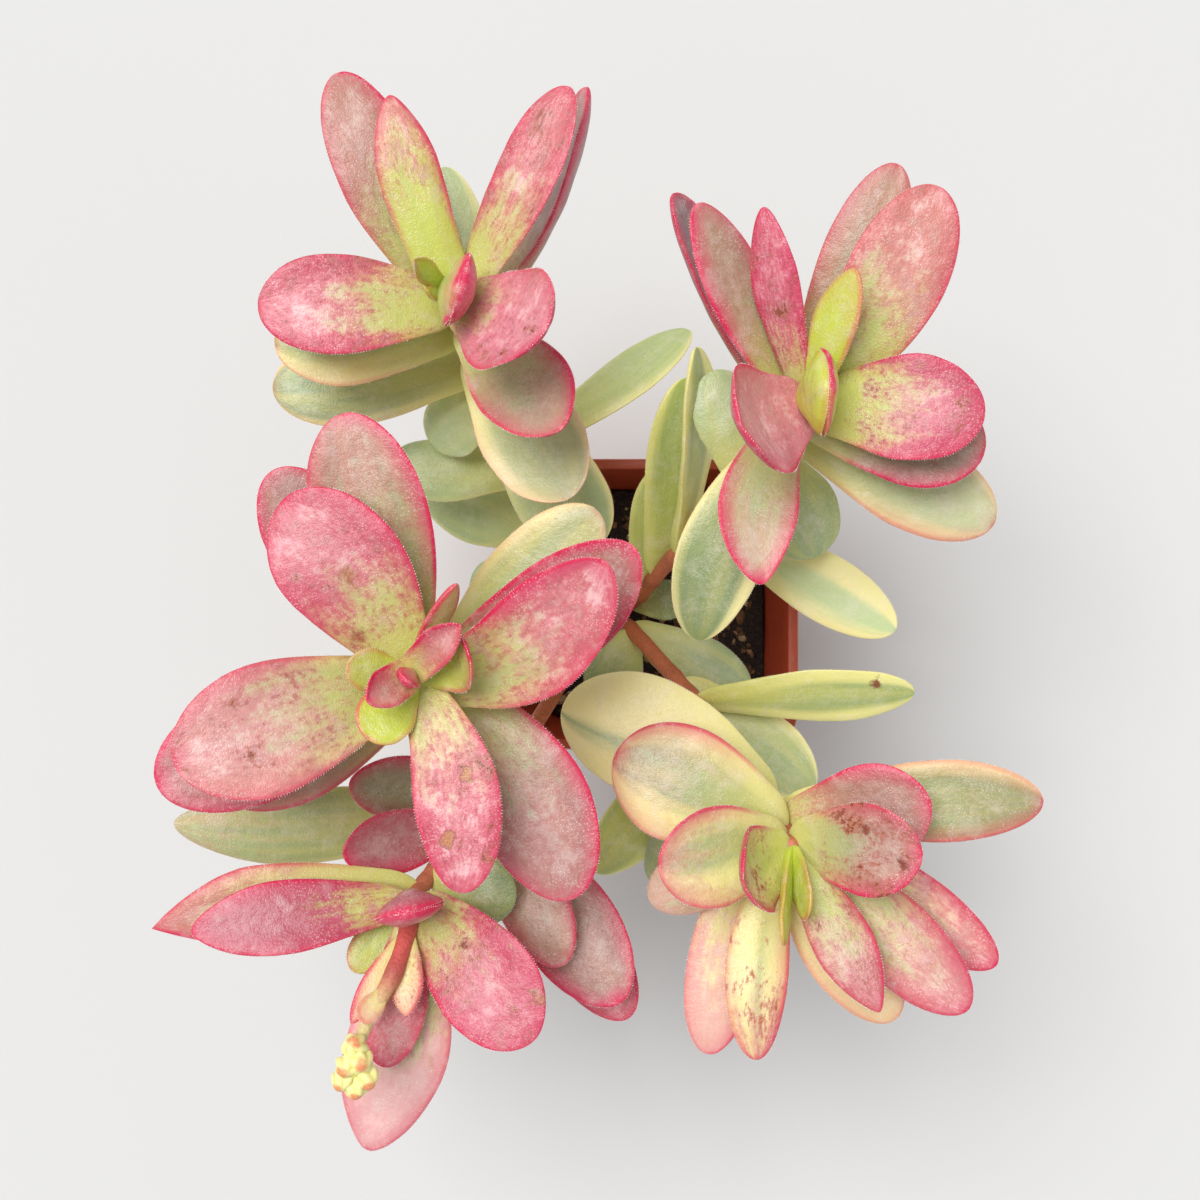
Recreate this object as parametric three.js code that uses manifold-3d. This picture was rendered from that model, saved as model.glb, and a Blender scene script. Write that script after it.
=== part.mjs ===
// A potted succulent: five leafy stems with thick opposite leaves in crossed pairs, in a square nursery pot.
// Millimetres, +Z up. The origin is the centre of the pot's base, and the plant leans out over the rim.
import * as THREE from "three";
import { mergeVertices } from "three/addons/utils/BufferGeometryUtils.js";
import Module from "manifold-3d";

const wasm = await Module();
wasm.setup();

// Pot
const RIM_SIDE = 64;
const RIM_HEIGHT = 5;
const POT_HEIGHT = 60;
const BASE_SIDE = 46;
const TOP_SIDE = 61.4;
const WALL = 1.2;
const FLOOR = 1.6;
const CORNER_RADIUS = 8;
const CORNER_STEPS = 3;
const DRAIN_RADIUS = 3.2;
const DRAIN_OFFSET = 15;

// Soil
const SOIL_TOP = 40;
const SOIL_SWELL = 0.9;
const SOIL_CLEARANCE = 0.3;
const SOIL_CELLS = 6;

// Stems and leaves
const STEM_RADIUS = 1.8;
const STEM_TIP_SHARE = 0.75;
const SEAT_CLEARANCE = 0.3;
const STEM_SIDES = 7;
const STEM_STEPS = 8;
const HOLE_CLEARANCE = 0.35;
const HOLE_DEPTH_SPARE = 0.8;
const LEAF_THICKNESS = 3.4;
const LEAF_EDGE = 0.9;
const LEAF_NECK = 0.5;
const LEAF_WIDEST = 0.6;
const LEAF_END = 1.006;
const LEAF_STATIONS = [0, 0.3, 0.6, 0.82, 0.95, 1];
const TOP_STEPS = [-1, -0.45, 0.45, 1];
const UNDER_STEPS = [1, 0, -1];
const TOP_SHARE = 0.35;

// Each stem is a list of points, from its foot in the soil to its growing point.
// Each leaf stands on its stem at height `at`, and ends at `tip`. `width` is across its widest part.
// `bow` arches its midrib upwards (down where negative), and `sway` bends it to its right in its own plane.
// `roll` turns its face to its right, seen from base to tip. `cup` raises its margins above its midrib.
// `face` is the compass direction, in degrees from +X, that an upright leaf's upper face looks to.
const PLANT = {
  stem_upper_left: {
    path: [[-13, 3, 34], [-23, 20, 72], [-35, 47, 100], [-37.5, 55, 128]],
    leaves: [
      { at: 126, tip: [-35.6, 53.4, 141], width: 12, thick: 2.2, face: -18, bow: -0.8 },
      { at: 126, tip: [-34, 52.9, 141], width: 12, thick: 2.2, face: 162, bow: -0.8 },
      { at: 126, tip: [-41, 60, 132], width: 5, thick: 1.6 },
      { at: 124.5, tip: [-48, 88.1, 131], width: 11, bow: 2, sway: -1.2, roll: 8, neck: 0.75 },
      { at: 124.5, tip: [-18.4, 41.4, 149], width: 19, bow: -3, cup: 2 },
      { at: 121, tip: [-71, 51.6, 130], width: 17.4, bow: 2.5, cup: 1 },
      { at: 121, tip: [-17.4, 90, 130], width: 13, bow: 2, sway: 2.4, roll: -25, cup: 1 },
      { at: 116.5, tip: [-57.6, 93.8, 126], width: 15.5, bow: 3, sway: -2, roll: 10 },
      { at: 116.5, tip: [-18.2, 30, 134], width: 17, bow: -2, cup: 2 },
      { at: 111.5, tip: [-70.7, 47.2, 118], width: 18, bow: 2, cup: 1 },
      { at: 111.5, tip: [-13.9, 92.6, 122], width: 15, bow: -4, roll: -62, cup: 2 },
      { at: 105, tip: [-17, 19.5, 116], width: 19, bow: -1, cup: 1.5 },
      { at: 105, tip: [-54, 93, 112], width: 13, bow: 2 },
      { at: 99, tip: [-74.3, 41, 103], width: 18, bow: 1.5 },
      { at: 99, tip: [-42, 84.6, 100], width: 12, bow: 1 },
      { at: 94, tip: [-45.4, 32, 88], width: 13, bow: 1 },
      { at: 91, tip: [-12.3, 11.4, 88], width: 19, bow: 2 },
      { at: 84, tip: [6.5, 56.6, 81], width: 12, bow: 3, sway: 3.5, roll: -35 },
      { at: 80, tip: [-55.6, 27.8, 84], width: 13, bow: 1 },
      { at: 62, tip: [-48.8, 23.2, 70], width: 14, bow: 1 },
      { at: 54, tip: [-26, 27, 60], width: 12, bow: 1 },
    ],
  },
  stem_upper_right: {
    path: [[-8, 1.5, 34], [-4.5, 0.5, 52], [2, 8, 72], [22, 31, 102], [26, 36.5, 128]],
    leaves: [
      { at: 126, tip: [24.5, 36.2, 142], width: 15, thick: 2.2, face: 0, bow: -0.8 },
      { at: 126, tip: [26.2, 36.3, 142], width: 15, thick: 2.2, face: 180, bow: -0.8 },
      { at: 126, tip: [31.4, 56.8, 137], width: 9, thick: 2.4, roll: -35, bow: 1 },
      { at: 125, tip: [11, 28.9, 149], width: 20, bow: -3, cup: 2 },
      { at: 122, tip: [16.2, 68, 134], width: 9, bow: 2, roll: -35 },
      { at: 122, tip: [54.3, 32.9, 133], width: 18.3, bow: 3, cup: 1 },
      { at: 121, tip: [46.2, 72.2, 132], width: 17.5, bow: 2, sway: 2, cup: 1 },
      { at: 117, tip: [5.2, 69.7, 130], width: 12, bow: 2, sway: -1.5, roll: 20 },
      { at: 117, tip: [16.8, 3.6, 126], width: 14.5, bow: 1, sway: 4, cup: 1.5 },
      { at: 117, tip: [56.3, 27.2, 125], width: 18.5, bow: 2, cup: 1 },
      { at: 111, tip: [1.2, 73, 124], width: 14, bow: -4.5, roll: 62, cup: 2 },
      { at: 112, tip: [41, 78.3, 124], width: 14, bow: 2 },
      { at: 109, tip: [60.9, 15, 114], width: 17.5, bow: 3 },
      { at: 108, tip: [7, -6.7, 106], width: 16, bow: 3, sway: 3 },
      { at: 100, tip: [31, 9.5, 96], width: 16, bow: 1 },
      { at: 92, tip: [10.8, 46, 96], width: 13, bow: 1 },
      { at: 84, tip: [48.2, -5.2, 86], width: 13.5, bow: 2 },
      { at: 76, tip: [7, 50.1, 98], width: 13, bow: 2, roll: 60, cup: 1 },
      { at: 68, tip: [5.6, 45.6, 88], width: 14, bow: 2, roll: 20 },
      { at: 60, tip: [3.9, 30.7, 68], width: 13, bow: 1 },
      { at: 50, tip: [8.6, 1.4, 54], width: 9, cup: 1.5 },
    ],
  },
  stem_left: {
    path: [[-14, -3, 34], [-20, -5, 68], [-38, -11, 98], [-46, -13.5, 118], [-43.5, -11.2, 138]],
    leaves: [
      { at: 137, tip: [-42.6, -12, 147], width: 4.5, thick: 2, face: 45 },
      { at: 137, tip: [-49, -16.8, 148], width: 6, thick: 2, cup: 1.2 },
      { at: 137, tip: [-34.2, -3.1, 149], width: 6, thick: 2, cup: 1.2 },
      { at: 134, tip: [-53.9, -10.4, 141], width: 7.5, thick: 2 },
      { at: 135, tip: [-49.8, -22.6, 141], width: 8.5, thick: 2 },
      { at: 135, tip: [-35.2, 3.6, 143], width: 7, thick: 2.4, roll: 60 },
      { at: 134, tip: [-30.4, -8.9, 146], width: 12, thick: 2, cup: 1 },
      { at: 133, tip: [-65.4, 16.6, 140], width: 21, bow: 3, sway: 2.8, cup: 1 },
      { at: 133, tip: [-35.2, -48.3, 138], width: 14.6, bow: 3, sway: -3.8, cup: 1 },
      { at: 128, tip: [-10, 4, 150], width: 21, bow: -1, sway: 2, cup: 2 },
      { at: 127, tip: [-81.7, -25.9, 144], width: 22, bow: 3, cup: 1 },
      { at: 122, tip: [-55.4, 32.5, 136], width: 20.5, bow: 3, sway: 1, cup: 1 },
      { at: 121, tip: [-17.4, -51.9, 127], width: 21, bow: 3, sway: -5.5 },
      { at: 117, tip: [-6.3, 10.5, 138], width: 20, bow: -1, cup: 2 },
      { at: 117, tip: [-88, -31, 132], width: 21, bow: 2, cup: 1 },
      { at: 112, tip: [-69.6, 23.6, 126], width: 19, bow: 2 },
      { at: 107, tip: [-79.7, -35.4, 116], width: 17, bow: 2 },
      { at: 106, tip: [-12.1, 17.2, 116], width: 17, bow: 1 },
      { at: 88, tip: [-34.4, 9, 86], width: 9, bow: 1 },
    ],
  },
  stem_lower_left: {
    path: [[-16, -9, 34], [-22, -20, 66], [-38, -44, 95], [-46, -54, 108], [-46.2, -55, 117]],
    leaves: [
      { at: 115, tip: [-45.2, -52.6, 130], width: 12.5, thick: 2.2, face: 283, bow: -0.8 },
      { at: 115, tip: [-44.8, -54.2, 130], width: 12.5, thick: 2.2, face: 103, bow: -0.8 },
      { at: 112, tip: [-85, -58.5, 121], width: 13.5, bow: 2, roll: 15, cup: 1 },
      { at: 112, tip: [-24.1, -77.6, 125], width: 19, bow: 2, sway: -1.5, cup: 1 },
      { at: 107, tip: [-93.3, -58.9, 117], width: 14.5, bow: 3, sway: 2 },
      { at: 107, tip: [-55, -101.4, 111], width: 19, bow: 3, sway: -2 },
      { at: 110, tip: [-57.2, -67.1, 115], width: 8, thick: 2 },
      { at: 109.5, tip: [-42.6, -72.6, 114.6], width: 6, thick: 2 },
      { at: 88, tip: [-92.4, -41.3, 106], width: 15, bow: 1, sway: -3 },
      { at: 104, tip: [-27.5, -55.5, 108], width: 13, bow: 1 },
      { at: 95, tip: [-18.8, -68.2, 107], width: 13.5, bow: 2, sway: -2.5 },
      { at: 94, tip: [-59.3, -46.4, 112], width: 12.5, bow: -1, cup: 1.5 },
      { at: 90, tip: [-7.5, -75.8, 104], width: 19, bow: 2 },
      { at: 88, tip: [-58.7, -33.6, 109], width: 12.5, bow: -1, cup: 1.5 },
      { at: 85, tip: [-5.9, -81, 96], width: 17, bow: 2, sway: 1.5 },
    ],
    stalk: {
      path: [[-46, -55.5, 112], [-48.3, -65.2, 121.5], [-53, -74.2, 126.6], [-54, -78.4, 128.6]],
      tipShare: 0.5,
      leaves: [
        { at: 113, tip: [-51, -84, 117.5], width: 11.5, thick: 2.2 },
        { at: 116, tip: [-55, -71.5, 122.5], width: 5, thick: 1.6, bow: 1 },
        { at: 116, tip: [-44.2, -69.5, 122.5], width: 5, thick: 1.6, bow: 1 },
        { at: 123.5, tip: [-53.4, -72.6, 128.6], width: 4.5, thick: 1.6 },
      ],
    },
  },
  stem_lower_right: {
    path: [[-5, -8, 34], [-5.1, -5.4, 56], [7.9, -19.8, 80], [16.8, -30.6, 94], [22, -40, 106], [23, -44, 120]],
    leaves: [
      { at: 119, tip: [19.9, -58.3, 132], width: 8, thick: 2, roll: -70 },
      { at: 119, tip: [24.2, -53.8, 131], width: 8, thick: 2, roll: 70 },
      { at: 118, tip: [12.6, -44.8, 138], width: 16, thick: 2.4, bow: -1, cup: 1 },
      { at: 117, tip: [37.2, -71.1, 128], width: 11, bow: 2 },
      { at: 116, tip: [43.6, -42.6, 133], width: 16.5, bow: 1, cup: 1 },
      { at: 115, tip: [-1.6, -45.5, 130], width: 18, bow: 1, cup: 1 },
      { at: 113, tip: [16.6, -81.9, 120], width: 12, bow: 2, sway: 2.5 },
      { at: 112, tip: [54.1, -72.4, 122], width: 15, bow: 2, cup: -1 },
      { at: 112, tip: [-9.3, -28.6, 112], width: 22, bow: 3, sway: 1, cup: -1 },
      { at: 109, tip: [43.1, -76.4, 113], width: 15, bow: 2, sway: 2 },
      { at: 108.7, tip: [47.7, -35.4, 121], width: 18, bow: 1, cup: 1 },
      { at: 105, tip: [69.6, -36.2, 115], width: 15, bow: 3, sway: -1.5 },
      { at: 109.3, tip: [-2.4, -55.6, 109], width: 13, bow: 2 },
      { at: 104, tip: [8.6, -84.2, 109], width: 14, bow: 2, sway: 2 },
      { at: 104, tip: [61.6, -66.5, 113], width: 13, bow: 2 },
      { at: 104, tip: [-19.1, -20.2, 102], width: 23, bow: 3, sway: 2.5, cup: -1 },
      { at: 90, tip: [-0.7, -58.1, 76], width: 11, bow: 2 },
      { at: 86, tip: [-12.8, -56.8, 72], width: 13, bow: 2 },
      { at: 80, tip: [52.4, -18.1, 84], width: 12.5, bow: 2, sway: -1.5, roll: 30 },
      { at: 75, tip: [33, -39.6, 74], width: 16, bow: 2 },
      { at: 58, tip: [-11.7, -21, 60], width: 13, bow: 1 },
      { at: 54, tip: [21.1, -19.2, 61], width: 13, bow: 1 },
    ],
  },
};

// The yellow bud cluster at the flower stalk's end: each bud is a small faceted drop.
const BUD_CENTRE = [-54.2, -80.3, 129.5];
const BUD_RADIUS = 2.1;
const BUD_STRETCH = 1.25;
const BUD_OFFSETS = [[0, 4.2, 0.4], [1.4, 1.4, 1], [-1.6, 0.6, 0.8], [2.4, -1.8, 0], [-2.5, -2.2, 0], [0, -3.6, -0.4]];

// A closed mesh becomes a solid that can be joined and cut.
function solidOf(geometry) {
  const bare = new THREE.BufferGeometry();
  bare.setAttribute("position", geometry.getAttribute("position"));
  if (geometry.index) bare.setIndex(geometry.index);
  const merged = mergeVertices(bare, 1e-3);
  return new wasm.Manifold(
    new wasm.Mesh({
      numProp: 3,
      vertProperties: merged.attributes.position.array,
      triVerts: new Uint32Array(merged.index.array),
    }),
  );
}

function geometryOf(solid) {
  const mesh = solid.getMesh();
  const geometry = new THREE.BufferGeometry();
  geometry.setAttribute("position", new THREE.BufferAttribute(mesh.vertProperties, 3));
  geometry.setIndex(new THREE.BufferAttribute(mesh.triVerts, 1));
  geometry.computeVertexNormals();
  return geometry;
}

function joined(solids) {
  return solids.reduce((whole, solid) => whole.add(solid));
}

// Drops the hollows that joining sealed, and keeps the one body that is left.
function filled(solid) {
  return solid
    .decompose()
    .filter((body) => body.volume() > 0)
    .sort((a, b) => b.volume() - a.volume())[0];
}

// Rings of points with the same count, each anticlockwise seen from the last ring's end, skinned and capped.
function loft(rings) {
  const count = rings[0].length;
  const positions = rings.flat().flatMap((point) => point.toArray());
  const index = [];
  for (let ring = 0; ring + 1 < rings.length; ring += 1) {
    for (let side = 0; side < count; side += 1) {
      const a = ring * count + side;
      const b = ring * count + ((side + 1) % count);
      index.push(a, b, b + count, a, b + count, a + count);
    }
  }
  const last = (rings.length - 1) * count;
  for (let side = 1; side + 1 < count; side += 1) {
    index.push(0, side + 1, side, last, last + side, last + side + 1);
  }
  const geometry = new THREE.BufferGeometry();
  geometry.setAttribute("position", new THREE.Float32BufferAttribute(positions, 3));
  geometry.setIndex(index);
  return geometry;
}

// A square outline with round corners, at height z.
function roundSquare(side, z) {
  const half = side / 2;
  const shape = new THREE.Shape();
  const turns = [[1, 1], [-1, 1], [-1, -1], [1, -1]];
  turns.forEach(([x, y], quarter) => {
    const start = (quarter * Math.PI) / 2;
    shape.absarc(
      x * (half - CORNER_RADIUS),
      y * (half - CORNER_RADIUS),
      CORNER_RADIUS,
      start,
      start + Math.PI / 2,
      false,
    );
  });
  return shape
    .getPoints(CORNER_STEPS)
    .slice(0, -1)
    .map((point) => new THREE.Vector3(point.x, point.y, z));
}

// The side of the pot's outer wall at height z.
function wallSide(z) {
  return THREE.MathUtils.lerp(BASE_SIDE, TOP_SIDE, z / POT_HEIGHT);
}

function potSolid() {
  const body = solidOf(loft([roundSquare(BASE_SIDE, 0), roundSquare(TOP_SIDE, POT_HEIGHT)]));
  const rimFoot = POT_HEIGHT - RIM_HEIGHT;
  const rim = solidOf(
    loft([roundSquare(RIM_SIDE - 0.8, rimFoot), roundSquare(RIM_SIDE, rimFoot + 1), roundSquare(RIM_SIDE, POT_HEIGHT)]),
  );
  const aboveTop = POT_HEIGHT + 1;
  const inside = solidOf(
    loft([roundSquare(wallSide(FLOOR) - 2 * WALL, FLOOR), roundSquare(wallSide(aboveTop) - 2 * WALL, aboveTop)]),
  );
  const holes = [-1, 1].flatMap((x) => [-1, 1].map((y) => drainHole(x * DRAIN_OFFSET, y * DRAIN_OFFSET)));
  return joined([body, rim]).subtract(inside).subtract(joined(holes));
}

function drainHole(x, y) {
  const hole = new THREE.CylinderGeometry(DRAIN_RADIUS, DRAIN_RADIUS, 4 * FLOOR, 12);
  hole.rotateX(Math.PI / 2);
  hole.translate(x, y, FLOOR / 2);
  return solidOf(hole);
}

// The soil fills the pot up to a gently uneven top, and keeps a plain hole round each stem.
function soilSolid() {
  const low = FLOOR + SOIL_CLEARANCE;
  const inset = 2 * (WALL + SOIL_CLEARANCE);
  const plug = solidOf(loft([roundSquare(wallSide(low) - inset, low), roundSquare(wallSide(SOIL_TOP + 4) - inset, SOIL_TOP + 4)]));
  const holes = Object.values(PLANT).map(({ path }) => stemHole(path));
  return plug.subtract(soilCutter()).subtract(joined(holes));
}

// Everything above the uneven soil top.
function soilCutter() {
  const block = new THREE.BoxGeometry(RIM_SIDE + 4, RIM_SIDE + 4, POT_HEIGHT, SOIL_CELLS, SOIL_CELLS, 1);
  block.translate(0, 0, SOIL_TOP + POT_HEIGHT / 2);
  const position = block.attributes.position;
  for (let i = 0; i < position.count; i += 1) {
    if (position.getZ(i) > SOIL_TOP + 1) continue;
    const wave = Math.sin(position.getX(i) * 0.31) * Math.cos(position.getY(i) * 0.23 + 1);
    position.setZ(i, SOIL_TOP + SOIL_SWELL * wave);
  }
  return solidOf(block);
}

function curveOf(points) {
  return new THREE.CatmullRomCurve3(points.map((point) => new THREE.Vector3(...point)));
}

// The point of a rising curve at height z.
function pointAtHeight(curve, z) {
  let low = 0;
  let high = 1;
  for (let step = 0; step < 30; step += 1) {
    const middle = (low + high) / 2;
    if (curve.getPoint(middle).z < z) low = middle;
    else high = middle;
  }
  return curve.getPoint(low);
}

// A round rod along a curve, with its radius at each share of the length.
function rod(curve, radiusAt) {
  const rings = [];
  for (let step = 0; step <= STEM_STEPS; step += 1) {
    const share = step / STEM_STEPS;
    const centre = curve.getPoint(share);
    const along = curve.getTangent(share);
    const side = new THREE.Vector3(0, 1, 0).cross(along).normalize();
    const up = along.clone().cross(side);
    const radius = radiusAt(share);
    const ring = [];
    for (let corner = 0; corner < STEM_SIDES; corner += 1) {
      const angle = (corner / STEM_SIDES) * 2 * Math.PI;
      ring.push(
        centre
          .clone()
          .addScaledVector(side, radius * Math.cos(angle))
          .addScaledVector(up, radius * Math.sin(angle)),
      );
    }
    rings.push(ring);
  }
  return solidOf(loft(rings));
}

// A stem's own rod, thinner at its tip, or the same grown by a clearance all round.
function stemRod({ path, tipShare = STEM_TIP_SHARE }, clearance = 0) {
  return rod(curveOf(path), (share) => STEM_RADIUS * THREE.MathUtils.lerp(1, tipShare, share) + clearance);
}

// A stem's hole in the soil: the stem's own foot, wider all round, and deeper.
function stemHole(path) {
  const curve = curveOf(path);
  const foot = curve.getPoint(0);
  const reach = pointAtHeight(curve, SOIL_TOP + 6);
  const along = reach.clone().sub(foot).normalize();
  const spare = foot.clone().addScaledVector(along, -HOLE_DEPTH_SPARE);
  const hole = new THREE.CatmullRomCurve3([spare, foot, pointAtHeight(curve, SOIL_TOP), reach]);
  return rod(hole, () => STEM_RADIUS + HOLE_CLEARANCE);
}

// Half the leaf's width at a share of its length, as a share of its widest half.
function leafOutline(share, neck) {
  if (share <= LEAF_WIDEST) return THREE.MathUtils.lerp(neck, 1, THREE.MathUtils.smoothstep(share, -0.1, LEAF_WIDEST));
  const beyond = (share - LEAF_WIDEST) / (LEAF_END - LEAF_WIDEST);
  return Math.sqrt(1 - beyond ** 2.2);
}

// A thick leaf blade: a flat-topped, keeled section carried along an arched midrib.
function leafBlade(base, leaf) {
  const { width, thick = LEAF_THICKNESS, bow = 0, sway = 0, roll = 0, cup = 0, neck = LEAF_NECK, face } = leaf;
  const tip = new THREE.Vector3(...leaf.tip);
  const chord = tip.clone().sub(base).normalize();
  const lookTo = new THREE.Vector3(0, 0, 1);
  if (face !== undefined) {
    const bearing = THREE.MathUtils.degToRad(face);
    lookTo.set(Math.cos(bearing), Math.sin(bearing), 0);
  }
  const up = lookTo.addScaledVector(chord, -lookTo.dot(chord)).normalize();
  up.applyAxisAngle(chord, THREE.MathUtils.degToRad(roll));
  const right = chord.clone().cross(up);
  const middle = base.clone().lerp(tip, 0.5).addScaledVector(up, 2 * bow).addScaledVector(right, 2 * sway);
  const midrib = new THREE.QuadraticBezierCurve3(base, middle, tip);
  const rings = LEAF_STATIONS.map((share) => {
    const centre = midrib.getPoint(share);
    const along = midrib.getTangent(share);
    const side = along.clone().cross(up).normalize();
    const above = side.clone().cross(along);
    const outline = leafOutline(share, neck);
    const depth = thick * (1 - 0.45 * share ** 2);
    const place = (step, height) => {
      const rise = cup * outline * step ** 2;
      const body = THREE.MathUtils.lerp(depth, LEAF_EDGE, step ** 2);
      return centre
        .clone()
        .addScaledVector(side, (step * outline * width) / 2)
        .addScaledVector(above, rise + height * body);
    };
    const top = TOP_STEPS.map((step) => place(step, TOP_SHARE));
    const under = UNDER_STEPS.map((step) => place(step, TOP_SHARE - 1));
    return [...top, ...under];
  });
  return solidOf(loft(rings));
}

// A stem with all its leaves sunk into it, as one solid.
function leafySolid(stem) {
  const curve = curveOf(stem.path);
  const pieces = [stemRod(stem), ...stem.leaves.map((leaf) => leafBlade(pointAtHeight(curve, leaf.at), leaf))];
  if (stem.stalk) pieces.push(leafySolid(stem.stalk));
  return joined(pieces);
}

// The buds sit on the end of the flower stalk, in a seat cut with a clearance.
function budSolid() {
  const buds = BUD_OFFSETS.map(([x, y, z]) => {
    const bud = new THREE.IcosahedronGeometry(BUD_RADIUS, 1);
    bud.scale(1, BUD_STRETCH, 1);
    bud.translate(BUD_CENTRE[0] + x, BUD_CENTRE[1] + y, BUD_CENTRE[2] + z);
    return solidOf(bud);
  });
  return joined(buds).subtract(stemRod(PLANT.stem_lower_left.stalk, SEAT_CLEARANCE));
}

function material(colour, roughness) {
  return new THREE.MeshStandardMaterial({ color: colour, roughness, metalness: 0 });
}

function named(name, solid, look) {
  const mesh = new THREE.Mesh(geometryOf(solid), look);
  mesh.name = name;
  return mesh;
}

const part = new THREE.Group();
part.add(named("pot", potSolid(), material(0xc8624a, 0.5)));
part.add(named("soil", soilSolid(), material(0x2e211a, 0.95)));
const leafLook = material(0xc77f88, 0.5);
for (const [name, stem] of Object.entries(PLANT)) {
  part.add(named(name, filled(leafySolid(stem)), leafLook));
}
part.add(named("flower_buds", filled(budSolid()), material(0xf0e070, 0.6)));

export default part;
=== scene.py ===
# A potted variegated succulent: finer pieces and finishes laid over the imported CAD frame.
# The tables are in millimetres, as in the CAD model, and every mesh is in metres.
import math
import random
from types import SimpleNamespace

import bpy
import numpy as np
from mathutils import Matrix, Vector, noise


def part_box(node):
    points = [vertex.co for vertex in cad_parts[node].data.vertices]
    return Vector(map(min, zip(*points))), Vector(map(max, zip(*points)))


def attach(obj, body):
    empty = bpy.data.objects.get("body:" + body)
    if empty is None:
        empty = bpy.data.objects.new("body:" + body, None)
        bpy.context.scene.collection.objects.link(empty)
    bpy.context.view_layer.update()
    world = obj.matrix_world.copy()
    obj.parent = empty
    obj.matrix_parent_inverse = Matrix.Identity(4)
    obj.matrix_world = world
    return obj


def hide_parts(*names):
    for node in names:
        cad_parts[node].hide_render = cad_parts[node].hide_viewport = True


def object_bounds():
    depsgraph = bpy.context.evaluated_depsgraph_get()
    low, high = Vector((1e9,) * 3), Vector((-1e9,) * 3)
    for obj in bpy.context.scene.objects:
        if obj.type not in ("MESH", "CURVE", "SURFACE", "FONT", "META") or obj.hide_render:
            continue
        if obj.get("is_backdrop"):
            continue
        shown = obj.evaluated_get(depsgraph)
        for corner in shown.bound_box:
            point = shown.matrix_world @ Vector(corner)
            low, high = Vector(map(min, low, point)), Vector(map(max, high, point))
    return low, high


bl_info = {
    "name": "Potted succulent",
    "version": (1, 0, 0),
    "blender": (4, 5, 0),
    "location": "3D View > Sidebar > Succulent",
    "description": "Builds a potted variegated succulent, piece by piece, over its frame",
    "category": "Object",
}

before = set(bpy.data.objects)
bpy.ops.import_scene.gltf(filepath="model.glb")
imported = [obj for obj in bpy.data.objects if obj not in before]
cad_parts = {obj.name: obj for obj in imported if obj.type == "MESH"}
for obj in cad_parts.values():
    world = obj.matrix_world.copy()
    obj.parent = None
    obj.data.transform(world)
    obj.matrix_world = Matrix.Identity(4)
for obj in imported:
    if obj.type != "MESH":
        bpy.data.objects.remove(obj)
FRAME_BOX = [list(corner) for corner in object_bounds()]
POT_LOW, POT_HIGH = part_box("pot")
MM = 0.001

# Pot
BASE_SIDE = 46 * MM
TOP_SIDE = 61.4 * MM
RIM_FOOT_SIDE = 63.2 * MM
RIM_HEIGHT = 5 * MM
RIM_SLOPE = 1 * MM
LIP = 0.6 * MM
EDGE_ROUNDING = 0.25 * MM
FLOOR = 1.6 * MM
DRAIN_RADIUS = 3.2 * MM
DRAIN_OFFSET = 15 * MM
DRILL_LENGTH = 6 * FLOOR
SPLASH_HEIGHT = 14 * MM
POT_DUST = (206, 160, 132)
POT_SPLASH = (120, 84, 62)

# Soil: the waves of its slow swell are in radians a millimetre, its crumbs' scales in cells a metre
SOIL_GAP = 0.3 * MM
SOIL_VOXEL = 0.9 * MM
SOIL_SWELL = 0.9 * MM
TOP_OF_MIX = 0.4
SWELL_WAVES = (0.31, 0.23)
LUMP_SCALE = 260
LUMP_HEIGHT = 0.55 * MM
GRAIN_SCALE = 620
GRAIN_HEIGHT = 0.5 * MM
BITS_INSET = 2.5 * MM
BIT_SIZES = (0.4 * MM, 1.0 * MM)
LARGE_BIT = 1.7
LARGE_BIT_SHARE = 0.14

# Leaves: a grid holds the points round a blank and the rings along it
BLADE_GRID = (40, 50)
LEAF_EDGE = 0.9
LEAF_WIDEST = 0.62
LEAF_TAPER = 0.45
TOP_SHARE = 0.35
BASE_ROUNDING = 0.13
TIP_ROUNDING = 12
MARGIN_ROUNDING = 8
WIDTH_WOBBLE = 0.05
WAVING_WIDTH = 16
MARGIN_WAVE = 0.9
FACE_WAVE = 0.35
DENT = 0.16
LEAF_SKIN = "Variegated leaf skin"
BLOTCH_SCALE = 210.0
FINE_SCALE = 760.0

# Stems
ROD_GRID = (24, 90)
STEM_RADIUS = 1.8
STEM_END = 0.04
STEM_ROUGH = 0.05
NODE_SWELL = 0.16
NODE_DROP = 1.5
NODE_REACH = 1.3
STALK_SEED = 7
SEED_BY_LEAF = 0.37
SEED_BY_STEM = 2.3
SEED_RANGE = 5

# Healed patches on the leaves: no more than two on each
SPOTS = ("spot_one", "spot_two")
SPOT_RADIUS = 1.6 * MM
SPOT_RAGGED = 2.6 * MM
NO_SPOT = (2, 0, 0)
FAR_AWAY = (0, 0, -1)

# Papillae on the leaf margins
PAPILLA_SKIN = "Margin papillae"
PAPILLA_LENGTH = 0.32 * MM
PAPILLA_RADIUS = 0.07 * MM
PAPILLA_STEP = 0.5 * MM
PAPILLA_START = 0.3
PAPILLA_LEAN = 0.5
PAPILLA_SPREAD = 0.25
PAPILLA_STAND = 0.3
PAPILLA_SIZES = (0.6, 1.25)

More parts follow.
